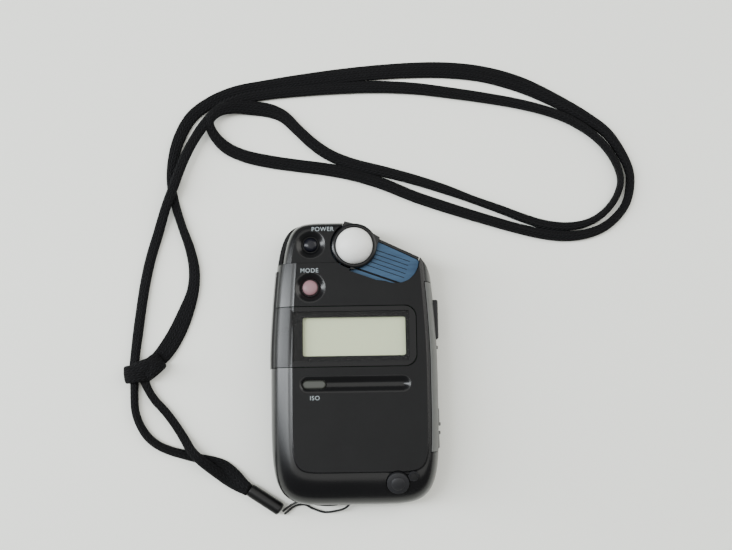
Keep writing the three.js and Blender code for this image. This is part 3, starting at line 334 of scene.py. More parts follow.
def braid():
    """Plaited cord: slanted stitches in columns along it, with loose fuzz, and painted shade in the hollows
    between the stitches.
    """
    shader = Shader("braid")
    op = shader.math
    parts = shader.node("ShaderNodeSeparateXYZ")
    shader.feed(shader.node("ShaderNodeTexCoord").outputs["UV"], parts.inputs[0])
    along = parts.outputs[0]
    across = op("DIVIDE", parts.outputs[1], BRAID_COLUMN)
    column = op("FLOOR", across)
    share = op("SUBTRACT", across, column)
    flip = op("PINGPONG", column, 1.0)
    mirrored = op("SUBTRACT", 1.0, share)
    rising = op("MULTIPLY", share, flip)
    falling = op("MULTIPLY", mirrored, op("SUBTRACT", 1.0, flip))
    slant = op("ADD", rising, falling)
    stitch = op("DIVIDE", along, BRAID_STITCH)
    turn = op("ADD", stitch, op("MULTIPLY", slant, 0.9))
    wave = op("SINE", op("MULTIPLY", turn, 2 * math.pi))
    ridge = op("SINE", op("MULTIPLY", share, math.pi))
    swell = shader.span(wave, -1.0, 1.0, 0.15, 1.0)
    height = op("MULTIPLY", swell, op("POWER", ridge, 0.6))
    fuzz = shader.noise(4200.0, 4.0)
    tall = op("ADD", height, op("MULTIPLY", fuzz, 0.35))
    # Painted shade: the colour goes darker in the hollows between the stitches and lighter on their crowns
    # and fuzz.
    shader.set("Base Color", shader.mix(tall, rgb(1, 1, 2), rgb(20, 20, 22)))
    shader.set("Roughness", 0.82)
    shader.set("Specular IOR Level", 0.16)
    shader.set("Normal", shader.bump(tall, 0.45))
    return shader.material


# ---- Cords ----

BRAID_AREA = 10.0  # its section, in square mm, which stays the same
BRAID_COLUMN = 1.0
BRAID_STITCH = 1.8
BRAID_LIFT = 0.05  # clear of the table
BRAID_ROLL = 0.1
BRAID_ROLL_RUN = 23.0
STRAP_STEP = 1.4
STRING_STEP = 0.5
OVER = 4.0  # height of a strand's middle where it passes over another
STRING_R = 0.42
BAND_STEPS = 48
BAND_SIDES = 16
FERRULE_R = 2.15
FERRULE_L = 14.4
FERRULE_END = 0.9  # the round of its far end
FERRULE_SPREAD = 1.2  # it is this much wider than it is high
FERRULE_TOP = (-41.5, -49.1, 2.4)
FERRULE_TIP = (-29.4, -57.0, 2.4)


def braid_thickness(width):
    return BRAID_AREA / width


# The strap is one braid. It leaves the ferrule, goes through the knot, round the meter in a loop
# and a half, back through the knot and into the ferrule. Each point is x, y and the braid's width
# there, with its height where it does not lie on the table.
NEAR_RUN = [
    (-42.4, -50, 3.1, 2.2), (-46, -48, 3.9, 1.8), (-49.8, -45.6, 4.6), (-54.5, -42.2, 4.4, 2.2),
    (-58, -39.6, 4.1, 3.4), (-61.4, -36.8, 3.9, OVER), (-64.4, -33.8, 3.8, 3.4), (-67.5, -29, 3.6, 2),
    (-71.5, -23, 3.4), (-75.4, -18, 3.4), (-79.5, -13.5, 3.3), (-82.4, -8.6, 3.3, 2),
]
KNOT_IN = [(-83.4, -4.4, 4.2, 2.8), (-80.6, 0.0, 5.6, 3.0)]
INNER_TURN = [
    (-76.5, 4.2, 6.9, 1.7), (-71.6, 12, 7.2), (-67.4, 21.5, 6.4), (-64.7, 30, 5), (-64.2, 38, 4.5),
    (-66, 47, 3.9), (-69.2, 56, 3.5), (-72, 65, 3.6), (-73.8, 74, 3.8), (-73.4, 83, 4.4),
    (-70.9, 93, 5), (-66, 102, 5.2), (-58.5, 108, 5.2), (-48.5, 112.4, 5.2), (-34.5, 115, 5.5),
    (-16, 117.6, 6.1), (4, 119.8, 6.5), (26, 121, 6.9), (41, 120.7, 7), (55, 118.8, 6.9),
    (69.5, 114.4, 6.7), (83.5, 107.6, 5.8), (97, 99.4, 5), (105.2, 92.8, 4.5), (110.8, 84, 4),
    (113.6, 76.5, 3.6), (113.6, 70, 3.5), (111.6, 63, 3.4), (107.2, 57.2, 3.6), (101.5, 53, 3.8),
]
FAR_SIDE = [
    (94.5, 50.6, 4), (86.5, 49.9, 4.3), (77.5, 50.9, 4.4), (67, 53.4, 4.3), (56.5, 56.6, 4.4),
    (46, 60, 4.6), (36, 63.4, 4.8), (25.5, 67.2, 4.8), (12, 73, 5), (0, 77, 5.3), (-11.5, 79.4, 5.3),
    (-22.5, 81, 5.3), (-34, 82.9, 5.4), (-44, 85.4, 5.2), (-51.5, 89, 5, 1.4), (-56.5, 94.4, 4.2, 2.6),
    (-58, 99.4, 3.8, OVER), (-54.7, 103.6, 4.8, OVER), (-48.5, 105.7, 5.5, 2.6),
    (-41.5, 105.6, 5.9, 1.4),
]
OUTER_TURN = [
    (-34, 104.6, 5.9), (-28, 101.9, 5.2), (-22.2, 96.2, 4.6), (-16, 90.2, 4.8), (-9, 85.2, 4.9),
    (0, 81.4, 4.9), (13, 77.9, 4.7), (25.5, 74.3, 4.4), (38, 70, 4), (49, 65.6, 3.2), (60.5, 61.2, 3.5),
    (71, 57, 3.7), (78.5, 54.7, 3.8), (86.5, 53.8, 3.6), (93.5, 54.6, 3.3), (99, 56.8, 3),
    (104.2, 61, 2.8), (108, 66.4, 2.7), (109.8, 72.4, 2.6), (108.8, 78.4, 2.9), (105.6, 85, 3.2),
    (100.6, 91, 3.4), (95, 95.5, 3.7), (88, 99.6, 3.9), (79.5, 102.9, 4.1), (69, 105.8, 4.3),
    (55, 108.6, 4.5), (40.5, 111, 4.8), (26.5, 113, 5.1), (10, 114, 5.4), (-7, 113.6, 5.2),
]
NEAR_SIDE = [
    (-22.5, 112.6, 4.9), (-34.5, 111.4, 4.6), (-45.5, 109.4, 4.4, 1.6), (-53, 105.6, 4.4, 3),
    (-59.4, 99, 4.3, OVER), (-65, 90.5, 4.1, OVER), (-69, 82, 4.1, OVER), (-72.2, 73, 4, OVER),
    (-75.4, 64.4, 4, 3.4), (-79, 53, 4.2, 1.6), (-82, 42.6, 4.2), (-84, 32.5, 4.2), (-85.6, 21, 4.1),
    (-86.6, 12.5, 4.1), (-87.4, 4.2, 3.8, 1.7),
]
KNOT_OUT = [(-87.6, -1.6, 3.8, 2.6)]
FAR_RUN = [
    (-87.6, -7.2, 3.2, 1.7), (-87.5, -12.4, 3.1), (-87, -18, 3.1), (-85, -23.5, 3.2), (-82, -28, 3.4),
    (-78, -31.3, 3.4), (-73, -33.6, 3.5), (-67.5, -35.2, 3.7), (-62.5, -36.6, 3.7), (-57.5, -37.8, 4.2),
    (-52, -39.8, 4.6), (-47.4, -43.4, 4.6, 1.7), (-43.6, -46.9, 3.6, 2.2), (-41.4, -48.4, 3, 2.4),
]
STRING = [
    (-28.9, -57.6, 2.2), (-26.4, -55.8, 2), (-23.4, -54.2, 2.2), (-20.2, -54, 3), (-15, -55, 4),
    (-9, -55.2, 4.6), (-6.2, -54.4, 4.6), (-5.5, -52.6, 4.6), (-4, -51.25, 4.6), (-2.5, -52.6, 4.6),
    (-2.4, -54.6, 4.4), (-4.4, -56.6, 3.4), (-8.4, -57.8, 2), (-12.6, -58.2, 1.2), (-17, -56.8, 1),
    (-20.4, -55.2, 1.2), (-23.8, -55.6, 1), (-28.2, -58.7, 1.8),
]


def laid(points):
    """Strap points as (x, y, height, width): a point with no height lies on the table."""
    found = []
    for x, y, width, *up in points:
        height = up[0] if up else braid_thickness(width) / 2 + BRAID_LIFT
        found.append(Vector((x, y, height, width)))
    return found


def section_point(angle, width, thick, power):
    """A point on a rounded flat section, across it and up from its middle."""
    c = math.cos(angle)
    s = math.sin(angle)
    return width / 2 * math.copysign(abs(c) ** power, c), thick / 2 * math.copysign(abs(s) ** power, s)


def ringed(name, points, marks, sides, closed=False):
    """A smooth skin over rings of points, mapped by its marks: (along, across) in mm."""
    rings = len(points) // sides
    faces = []
    for i in range(rings if closed else rings - 1):
        here = i * sides
        there = (i + 1) % rings * sides
        for k in range(sides):
            j = (k + 1) % sides
            faces.append((here + k, there + k, there + j, here + j))
    if not closed:
        faces.append(tuple(range(sides)))
        faces.append(tuple(range(len(points) - 1, len(points) - sides - 1, -1)))
    body = mesh_object(name, points, faces)
    layer = body.data.uv_layers.new(name="map")
    for loop in body.data.loops:
        layer.data[loop.index].uv = marks[loop.vertex_index]
    for face in body.data.polygons:
        face.use_smooth = True
    return body


def sweep(name, path, section, sides=20, power=2.6):
    """A rounded flat section carried along a line."""
    points = []
    marks = []
    travelled = 0.0
    for i, place in enumerate(path):
        here = place.to_3d()
        ahead = path[min(i + 1, len(path) - 1)].to_3d() - path[max(i - 1, 0)].to_3d()
        tangent = ahead.normalized()
        side = Vector((0, 0, 1)).cross(tangent).normalized()
        up = tangent.cross(side)
        if i > 0:
            travelled += (here - path[i - 1].to_3d()).length
        width, thick, roll = section(place, travelled)
        turn = Matrix.Rotation(roll, 3, tangent)
        for k in range(sides):
            x, y = section_point(2 * math.pi * k / sides, width, thick, 2 / power)
            points.append(here + turn @ (side * x + up * y))
            marks.append((travelled, x))
    return ringed(name, points, marks, sides)


def strap_section(place, distance):
    """The braid keeps its section's area: where it is narrow it is thick."""
    width = place[3]
    return width, braid_thickness(width), BRAID_ROLL * math.sin(distance / BRAID_ROLL_RUN)


def add_strap():
    points = NEAR_RUN + KNOT_IN + INNER_TURN + FAR_SIDE + OUTER_TURN + NEAR_SIDE + KNOT_OUT + FAR_RUN
    path = spline(laid(points), STRAP_STEP)
    strap = sweep("neck_strap", path, strap_section)
    nodes = ("strap_run_a", "strap_run_b", "strap_loop")
    finish_piece(strap, "neck_strap", "case", [BRAID], nodes)
    return strap, path


def band(centre, turn, reach, rise, width, thick):
    """A closed wrap of braid round the knot: an upright ellipse turned about Z."""
    heading = Matrix.Rotation(turn, 3, "Z")
    along = []
    for i in range(BAND_STEPS + 1):
        angle = 2 * math.pi * i / BAND_STEPS
        along.append(Vector(centre) + heading @ Vector((reach * math.cos(angle), 0, rise * math.sin(angle))))
    points = []
    marks = []
    travelled = 0.0
    side = heading @ Vector((0, 1, 0))
    for i, here in enumerate(along[:-1]):
        ahead = (along[i + 1] - along[i - 1 if i else -2]).normalized()
        out = side.cross(ahead).normalized()
        travelled += (along[i + 1] - here).length
        for k in range(BAND_SIDES):
            x, y = section_point(2 * math.pi * k / BAND_SIDES, width, thick, 0.75)
            points.append(here + side * x + out * y)
            marks.append((travelled, x))
    return ringed("band", points, marks, BAND_SIDES, closed=True)


def add_knot():
    bands = [
        band((-86.0, -3.1, 3.0), 0.12, 4.6, 1.9, 7.0, 2.0),
        band((-80.4, -0.6, 3.2), 0.7, 4.0, 2.0, 7.4, 2.2),
        band((-82.8, -0.2, 3.5), 0.35, 4.6, 1.9, 5.2, 2.1),
    ]
    knot = bands[0]
    with bpy.context.temp_override(active_object=knot, selected_editable_objects=bands, object=knot):
        bpy.ops.object.join()
    return finish_piece(knot, "strap_knot_wraps", "case", [BRAID], ("strap_knot",))


def add_ferrule():
    """A rubber sleeve with a rounded end, laid from the strap's ends to the string."""
    r = FERRULE_R
    end = FERRULE_END
    foot = FERRULE_L - end
    mouth = [(0, 0.5), (r * 0.72, 0.5), (r * 0.8, 0.1), (r * 0.86, 0), (r * 0.95, 0.1), (r, 0.45)]
    tip = [(r - end + end * math.cos(a), foot + end * math.sin(a)) for a in (0.3, 0.6, 0.9, 1.2, 1.5)]
    ferrule = lathe(mouth + [(r, foot)] + tip + [(0, FERRULE_L + 0.1)], (0, 0, 0), 48)
    start = Vector(FERRULE_TOP)
    heading = (Vector(FERRULE_TIP) - start).to_track_quat("Z", "X")
    ferrule.data.transform(Matrix.LocRotScale(start * MM, heading, Vector((1, FERRULE_SPREAD, 1))))
    soften(ferrule, 40)
    return finish_piece(ferrule, "strap_sleeve", "case", [FERRULE_BLACK], ("strap_ferrule",))


def add_string():
    """The thin cord from the ferrule, round the pin in the case and back."""
    path = spline([Vector(p) for p in STRING], STRING_STEP)
    string = sweep("strap_cord", path, lambda place, distance: (2 * STRING_R, 2 * STRING_R, 0.0), 12, 2)
    finish_piece(string, "strap_cord", "case", [STRING_BLACK], ("strap_string",))
    return string, path


BRAID = braid()
RUBBER = plastic("rubber", (24, 24, 27), 0.5, grain=0.02, shine=0.3)
FERRULE_BLACK = plastic("ferrule_black", (9, 9, 10), 0.34, grain=0.004, shine=0.3)
STRING_BLACK = plastic("string_black", (16, 16, 18), 0.6, grain=0.05, grain_scale=5000.0)


def add_cords():
    strap, strap_path = add_strap()
    knot = add_knot()
    ferrule = add_ferrule()
    string, string_path = add_string()


add_cords()

# ---- Case outline ----

HALF_W = 32.5
TOP = 54.9
BOTTOM = -TOP
TAPER = 0.13
SPLIT_Z = 8.0
FRONT_Z = 18.5
HEAD_Z = 17.0
GAP = 0.3
WALL = 1.5
BACK_ROUND = 4.5
BEVEL_LEFT = 8.3
BEVEL_RIGHT = 4.1
BEVEL_BOTTOM = 12.3
BEVEL_TOP = 2.5
HEAD_STEP = 2.2
HEAD_BEVEL = 3.8
STRIP_LEFT_PROUD = 0.5
FAR = 200.0
RING_POINTS = 320
LEVELS = 16
PANEL_RISE = 0.4  # the flat panel stands this far above the rounded edge round it
PANEL_ROUND = ((0.18, 0.3), (0.34, 0.12), (0.48, 0.03), (0.62, 0.0))  # inset, and drop below the panel
SLOPE = [(-4.2, TOP - 0.4), (25.7, TOP - 14.7), (28.8, TOP - 18.6), (33.0, TOP - 28)]  # the head's cut corner


def taper_at(y):
    return 1 - TAPER * (min(y, TOP) / TOP) ** 1.5 if y > 0 else 1.0


def half_width(y):
    power = 8 if y > 0 else 6
    return HALF_W * taper_at(y) * (1 - abs(y / TOP) ** power) ** (1 / power)


def square_point(share):
    """A point on a square of half side 1, anticlockwise from the middle of its right side."""
    run = share * 8
    if run < 1:
        return 1.0, run
    if run < 3:
        return 2 - run, 1.0
    if run < 5:
        return -1.0, 4 - run
    if run < 7:
        return run - 6, -1.0
    return 1.0, run - 8


def barrel(x0, x1, y0, y1, low, high):
    """A ring with softened corners, of power low in its near half and high in its far half."""
    ring = []
    for i in range(RING_POINTS):
        a, b = square_point((i + 0.5) / RING_POINTS)
        power = high if b > 0 else low
        size = (abs(a) ** power + abs(b) ** power) ** (1 / power)
        x = (x0 + x1) / 2 + (x1 - x0) / 2 * a / size
        y = (y0 + y1) / 2 + (y1 - y0) / 2 * b / size
        ring.append((x * taper_at(y), y))
    return ring


def outline(inset=0.0, side_step=0.0):
    side = HALF_W - inset - side_step
    return barrel(-side, side, BOTTOM + inset, TOP - inset, 6, 8)


def panel_edge(inset=0.0, left=BEVEL_LEFT):
    y0 = BOTTOM + BEVEL_BOTTOM + inset
    return barrel(left + inset - HALF_W, HALF_W - BEVEL_RIGHT - inset, y0, TOP - BEVEL_TOP - inset, 10, 10)


def between(a, b, share, z):
    return [(p[0] + (q[0] - p[0]) * share, p[1] + (q[1] - p[1]) * share, z) for p, q in zip(a, b)]


def front_form(inset=0.0, top=FRONT_Z, step=0.0, left=BEVEL_LEFT):
    """The front half of the case as a solid, inset all round."""
    low = outline(inset, step)
    high = panel_edge(inset * 0.6, left)
    foot = SPLIT_Z + GAP
    rise = top - inset - foot - (PANEL_RISE if inset == 0 else 0)
    rings = [between(low, high, 0, foot - (1 if inset > 0 else 0))]
    for angle in quarter_turn(LEVELS)[0 if inset > 0 else 1:]:
        rings.append(between(low, high, 1 - math.cos(angle), foot + rise * math.sin(angle)))
    if inset == 0:
        for step_in, drop in PANEL_ROUND:
            rings.append(between(panel_edge(step_in, left), high, 0, top - drop))
    return common(loft(rings), under_slope(inset))


def back_form(inset=0.0, floor=0.0):
    wide = outline(inset)
    narrow = outline(BACK_ROUND + inset * 0.4)
    rings = []
    for angle in quarter_turn(LEVELS)[::-1]:
        height = SPLIT_Z - (SPLIT_Z - floor) * math.sin(angle)
        rings.append(between(wide, narrow, 1 - math.cos(angle), height))
    if inset > 0:
        rings.append(between(wide, narrow, 0, SPLIT_Z + 1))
    return common(loft(rings), under_slope(inset))


def under_slope(inset):
    """All that lies below the sloping top edge."""
    run = (Vector(SLOPE[1]) - Vector(SLOPE[0])).normalized()
    shift = Vector((run.y, -run.x)) * inset
    corner = [Vector(p) + shift for p in SLOPE]
    start = corner[0] - run * 2 * HALF_W
    ring = [(-FAR, -FAR), (FAR, -FAR), (FAR, corner[3].y - FAR / 2)]
    ring += corner[:0:-1] + [start, (-FAR, start.y)]
    return prism([tuple(p) for p in ring], -2, FRONT_Z + 2)


# ---- Slide frame ----


def centre_of(node):
    low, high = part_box(node)
    return (low + high) / 2 / MM


DOME = centre_of("diffuser_dome")
SLIDE_ANGLE = math.radians(-20)
TRAVEL = 17.0
POCKET_R = 9.4
RING_R = 8.9
TRACK_Z = 15.0
TRACK_T = 2.3
GUIDE_V = -8.0
GUIDE_W = 0.8
RUNNER_W = 0.4
SILL = 0.8  # the track runs this far past the ring on its near side
SILL_START = 1.5
SILL_END = 12.5
TRACK_LINES = (1.4, -0.3, -2.0, -3.7, -5.4)  # fine grooves along the track
TRACK_LINE_R = 0.14
DOME_R = 7.2


def on_slide(u, v):
    """A point from its distance along the slide and square to it."""
    c = math.cos(SLIDE_ANGLE)
    s = math.sin(SLIDE_ANGLE)
    return DOME.x + u * c - v * s, DOME.y + u * s + v * c


def slide_prism(corners, low, high):
    return prism([on_slide(u, v) for u, v in corners], low, high)


def slide_bar(u0, u1, v, half, low, high):
    """A straight bar along the slide."""
    return slide_prism([(u0, v - half), (u1, v - half), (u1, v + half), (u0, v + half)], low, high)


def arc(centre, radius, start, end, count):
    angles = [start + (end - start) * i / count for i in range(count + 1)]
    return [(centre[0] + radius * math.cos(a), centre[1] + radius * math.sin(a)) for a in angles]


def pocket(low, high, r=POCKET_R):
    quarter = math.pi / 2
    ends = arc(on_slide(TRAVEL, 0), r, SLIDE_ANGLE - quarter, SLIDE_ANGLE + quarter, 40)
    ends += arc(on_slide(0, 0), r, SLIDE_ANGLE + quarter, SLIDE_ANGLE + 3 * quarter, 40)
    u0 = 2 - r
    u1 = TRAVEL + r - 0.7
    open_side = slide_prism([(u0, 0), (u1, 0), (u1, 2 * r), (u0, 2 * r)], low + 0.001, high - 0.001)
    left = SILL_START + POCKET_R - r
    sill = [(left, 0), (left, -r - SILL), (SILL_END, -r - SILL), (TRAVEL - 1, -r), (TRAVEL - 1, 0)]
    near = slide_prism(sill, low + 0.002, high - 0.002)
    return join(prism(ends, low, high), open_side, near)


# ---- Areas of the front ----

COVER_TOP = TOP - 17.1
DISPLAY = centre_of("display_panel")
DISPLAY_Y = DISPLAY.y
LCD_W = 39.6
LCD_H = 14.9
BEZEL_RIGHT = 24.0
BEZEL_H = 23.0
BEZEL_CORNER = 4.5
FRAME_LEFT = -23.5
FRAME_RIGHT = 21.4
FRAME_H = 19.4
FRAME_DEPTH = 1.2
ISO = centre_of("iso_button")
GROOVE_X = 0.3
GROOVE_Y = ISO.y
GROOVE_W = 43.4
GROOVE_H = 6.4
GROOVE_DEPTH = 2.0
GROOVE_RIM = 0.3
GROOVE_DISH = 0.6  # share of the depth that the dish takes
WELL_RIM = 0.5
WELL_DISH = 0.7
POWER = centre_of("power_button")
MODE = centre_of("mode_button")
PAD = 1.4


def rounded(x0, x1, y0, y1, r):
    quarter = math.pi / 2
    corners = [(x1 - r, y0 + r, -1), (x1 - r, y1 - r, 0), (x0 + r, y1 - r, 1), (x0 + r, y0 + r, 2)]
    return [p for x, y, turn in corners for p in arc((x, y), r, turn * quarter, (turn + 1) * quarter, 12)]


def bezel_area(gap):
    y0 = DISPLAY_Y - BEZEL_H / 2 - gap
    y1 = DISPLAY_Y + BEZEL_H / 2 + gap
    x = BEZEL_RIGHT + gap - BEZEL_CORNER
    ring = [(-FAR, y0)]
    ring += arc((x, y0 + BEZEL_CORNER), BEZEL_CORNER, -math.pi / 2, 0, 12)
    ring += arc((x, y1 - BEZEL_CORNER), BEZEL_CORNER, 0, math.pi / 2, 12)
    ring.append((-FAR, y1))
    return prism(ring, 2, FRONT_Z + 1)


def front_area(gap=0.0):
    split = DOME.x + TRAVEL / 2
    top = COVER_TOP - gap
    ring = [(-FAR, -FAR), (FAR, -FAR), (FAR, TOP + 1), (split, TOP + 1), (split, top), (-FAR, top)]
    return cut(prism(ring, 1, FRONT_Z + 1), pocket(-1, FRONT_Z + 2, POCKET_R + gap))


def head_area(gap=0.0):
    foot = COVER_TOP + GAP + gap
    ring = [(-FAR, foot), (DOME.x, foot), (DOME.x, TOP + 1), (-FAR, TOP + 1)]
    return cut(prism(ring, 1, FRONT_Z + 1), pocket(-1, FRONT_Z + 2, POCKET_R + gap))


def groove_cutter():
    """A long dished channel with softly rounded edges."""
    r = GROOVE_H / 2 + GROOVE_RIM
    rings = []
    for i in range(13):
        t = 1 - i / 12
        rings.append((r * t * 0.97, FRONT_Z - GROOVE_DEPTH * GROOVE_DISH * (1 - math.cos(t * math.pi)) / 2))
    rings.append((-0.05, FRONT_Z + 1))
    half = GROOVE_W / 2
    return loft([
        [(x, y, z) for x, y in pill(GROOVE_X, GROOVE_Y, 2 * (half - inset), 2 * (r - inset) + 0.02)]
        for inset, z in rings
    ])


def pill(x, y, w, h):
    r = h / 2
    quarter = math.pi / 2
    ring = arc((x + w / 2 - r, y), r, -quarter, quarter, 20)
    return ring + arc((x - w / 2 + r, y), r, quarter, 3 * quarter, 20)


WELLS = {
    "power": {"at": POWER, "r": 2.7, "well": 5.65, "depth": 2.2, "top": HEAD_Z},
    "mode": {"at": MODE, "r": 2.95, "well": 5.75, "depth": 2.4, "top": FRONT_Z},
}


def well_cutter(key):
    """A dished recess with a rounded rim, and the hole for the key's stem."""
    r = key["well"] + WELL_RIM
    d = key["depth"] * WELL_DISH
    inner = key["r"] + 0.45
    steps = [i / 16 for i in range(17)]
    dish = [(inner + (r - inner) * t, -d * (1 - math.sin(t * math.pi / 2))) for t in steps]
    profile = [(0, -d - 3), (key["r"] + GAP, -d - 3), (key["r"] + GAP, -d)] + dish
    profile += [(r + 0.12, 0.2), (r + 0.12, 4), (0, 4)]
    return lathe(profile, (key["at"].x, key["at"].y, key["top"]), 96)


def well_pad(key):
    top = key["top"] - 0.5
    return disc(key["at"].x, key["at"].y, key["top"] - key["depth"] - PAD, top, key["well"] + 1.1)


# ---- Side strips ----

STRIP_WALL = 1.2
KEY_LIP = 0.5  # a side key's flange runs this far past its cap
STRIPS = {
    "right": {"side": 1, "inset": 3.1, "y": (-35.0, 29.8), "z": (3.0, 17.9)},
    "left": {"side": -1, "inset": 1.7, "y": (-2.6, 35.2), "z": (3.0, 13.0)},
}


def band_area(strip, gap):
    x0, x1 = sorted((strip["side"] * HALF_W / 2, strip["side"] * FAR))
    y0, y1 = strip["y"]
    z0, z1 = strip["z"]
    slab = box(x0, x1, y0 - gap, y1 + gap, z0 - gap, z1 + gap)
    return cut(slab, prism(outline(strip["inset"] + gap), -3, FRONT_Z + 3))


def closed_form(inset):
    wide = outline(inset)
    edge = panel_edge(inset * 0.6)
    narrow = outline(BACK_ROUND + inset * 0.4)
    rings = []
    rise = FRONT_Z - inset - SPLIT_Z - GAP
    for angle in quarter_turn(LEVELS)[:0:-1]:
        height = SPLIT_Z - (SPLIT_Z - inset) * math.sin(angle)
        rings.append(between(wide, narrow, 1 - math.cos(angle), height))
    for angle in quarter_turn(LEVELS):
        rings.append(between(wide, edge, 1 - math.cos(angle), SPLIT_Z + GAP + rise * math.sin(angle)))
    return loft(rings)


SIDE_KEYS = {name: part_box(name) for name in ("measuring_button", "up_key", "down_key")}

# ---- Materials ----


def lcd():
    """Reflective display glass seen through its window: pale green, faintly clouded."""
    shader = Shader("lcd")
    cloud = shader.noise(45.0)
    shader.set("Base Color", shader.mix(cloud, rgb(233, 243, 204), rgb(229, 239, 200)))
    shader.set("Roughness", 0.45)
    return shader.material


def clear_window():
    """Thin clear plastic: it shows what is behind it, with a faint shine."""
    shader = Shader("clear_window")
    shader.set("Base Color", (0.02, 0.02, 0.02, 1))
    smear = shader.noise(120.0, 4.0)
    shader.set("Roughness", shader.span(smear, 0.3, 0.7, 0.03, 0.08))
    shader.set("Specular IOR Level", 0.15)
    shader.set("Alpha", 0.1)
    return shader.material


def diffuser():
    """Milky moulded plastic."""
    shader = Shader("diffuser")
    shader.set("Base Color", rgb(252, 252, 247))
    shader.set("Subsurface Weight", 0.35)
    shader.set("Subsurface Scale", 0.004)
    shader.set("Subsurface Radius", (1.0, 0.95, 0.85))
    smear = shader.noise(300.0)
    shader.set("Roughness", shader.span(smear, 0.3, 0.7, 0.38, 0.5))
    return shader.material


def track_blue():
    """Blue plastic with a fine grain and faint scuffs along the slide."""
    shader = Shader("track_blue")
    turned = shader.node("ShaderNodeMapping")
    turned.inputs["Rotation"].default_value = (0, 0, -SLIDE_ANGLE)
    turned.inputs["Scale"].default_value = (0.12, 1.0, 1.0)
    shader.feed(shader.position(), turned.inputs["Vector"])
    scuff = shader.noise(900.0, 4.0, vector=turned.outputs[0])
    worn = shader.span(scuff, 0.35, 0.7, 0.0, 1.0)
    shader.set("Base Color", shader.mix(worn, rgb(40, 66, 92), rgb(51, 79, 105)))
    shader.set("Roughness", 0.42)
    shader.set("Specular IOR Level", 0.25)
    shader.set("Normal", shader.bump(shader.noise(6000.0, 2.0), 0.015))
    return shader.material


def table_top():
    shader = Shader("table_top")
    shade = shader.noise(2.5, 2.0)
    shader.set("Base Color", shader.mix(shade, rgb(250, 251, 245), rgb(247, 248, 241)))
    shader.set("Roughness", 0.5)
    shader.set("Normal", shader.bump(shader.noise(900.0, 3.0), 0.02))
    return shader.material


GLOSS = plastic("gloss_black", (7, 7, 9), 0.24, grain=0.003, grain_scale=1500.0, shine=0.34)
MATTE = plastic("matte_black", (16, 16, 17), 0.45, grain=0.02, shine=0.14)
# Black for the inside of the case; on the blue track it is painted shade in the grooves.
SHADE = plastic("inner_black_and_shade", (14, 14, 15), 0.7, grain=0.02)
BEZEL = plastic("bezel_black", (8, 8, 10), 0.28, grain=0.003, grain_scale=1500.0, shine=0.24)
GREY = plastic("grey_plastic", (80, 81, 80), 0.42, grain=0.02)
NAVY = plastic("navy_key", (7, 8, 18), 0.25, shine=0.3)
PINK = plastic("pink_key", (130, 99, 105), 0.42, grain=0.01)
KEY_GREY = plastic("key_grey", (62, 64, 60), 0.4, grain=0.012)
INK = plastic("label_ink", (140, 148, 152), 0.5)
STEEL = metal("steel", (188, 190, 192), 0.28)
BRASS = metal("brass", (200, 168, 104), 0.3)
BOARD = plastic("circuit_green", (34, 84, 48), 0.45)
CHIP = plastic("chip_black", (26, 26, 27), 0.5, grain=0.02)
CELL = plastic("cell_skin", (52, 60, 76), 0.35, shine=0.3)
NYLON = plastic("white_insulator", (226, 224, 214), 0.5)
PLATE = plastic("label_plate", (148, 150, 152), 0.4)
LCD = lcd()
WINDOW = clear_window()
DIFFUSER = diffuser()
BLUE = track_blue()

# ---- Covers ----


def panel_faces(body, top, materials):
    """Gives the flat panel the second material, and the faces well inside the case the third."""
    set_materials(body, materials)
    for face in body.data.polygons:
        centre = face.center / MM
        if face.normal.z > 0.98 and centre.z > top - 0.02:
            face.material_index = 1
        elif face.normal.z < -0.3 and centre.z < top - 1:
            face.material_index = 2
        else:
            face.material_index = 0


def sync_frame():
    """The socket's place and tilt on the sloping chin."""
    y = BOTTOM + 8.5
    cos = (BOTTOM + BEVEL_BOTTOM - y) / BEVEL_BOTTOM
    z = SPLIT_Z + GAP + (FRONT_Z - SPLIT_Z - GAP) * math.sqrt(1 - cos * cos)
    return Matrix.Translation(Vector((16, y, z)) * MM) @ Matrix.Rotation(math.radians(17), 4, "X")


def on_sync(body):
    body.data.transform(sync_frame())
    return body


CAP_R = 4.2
TETHER_AT = (5.9, 2.6)
TETHER_R = 1.9
TETHER_T = 0.8
TETHER_W = 2.4
SCREW_R = 0.9
SOCKET_R = 2.9


def bar(reach, start, width, low, high):
    """A straight bar from the socket towards the tether's screw."""
    body = box(start, reach, -width / 2, width / 2, low, high)
    body.data.transform(Matrix.Rotation(math.atan2(TETHER_AT[1], TETHER_AT[0]), 4, "Z"))
    return body


def sync_well():
    reach = math.hypot(*TETHER_AT)
    rim = CAP_R + 0.4
    bowl = lathe([(0, -3.2), (CAP_R - 0.3, -3.2), (CAP_R - 0.3, -1), (rim, -0.9), (rim, 6), (0, 6)])
    ring = disc(*TETHER_AT, -0.9, 6, TETHER_R + GAP)
    neck = bar(reach, 0, TETHER_W + 2 * GAP, -0.9, 6)
    hole = disc(0, 0, -12, 0, SOCKET_R + GAP)
    screw = disc(*TETHER_AT, -5, 0, SCREW_R + 0.1)
    return on_sync(join(bowl, ring, neck, hole, screw))


def sync_boss():
    return on_sync(join(disc(0, 0, -4.6, 0.3, CAP_R + 1.3), disc(*TETHER_AT, -6, 0, 2)))


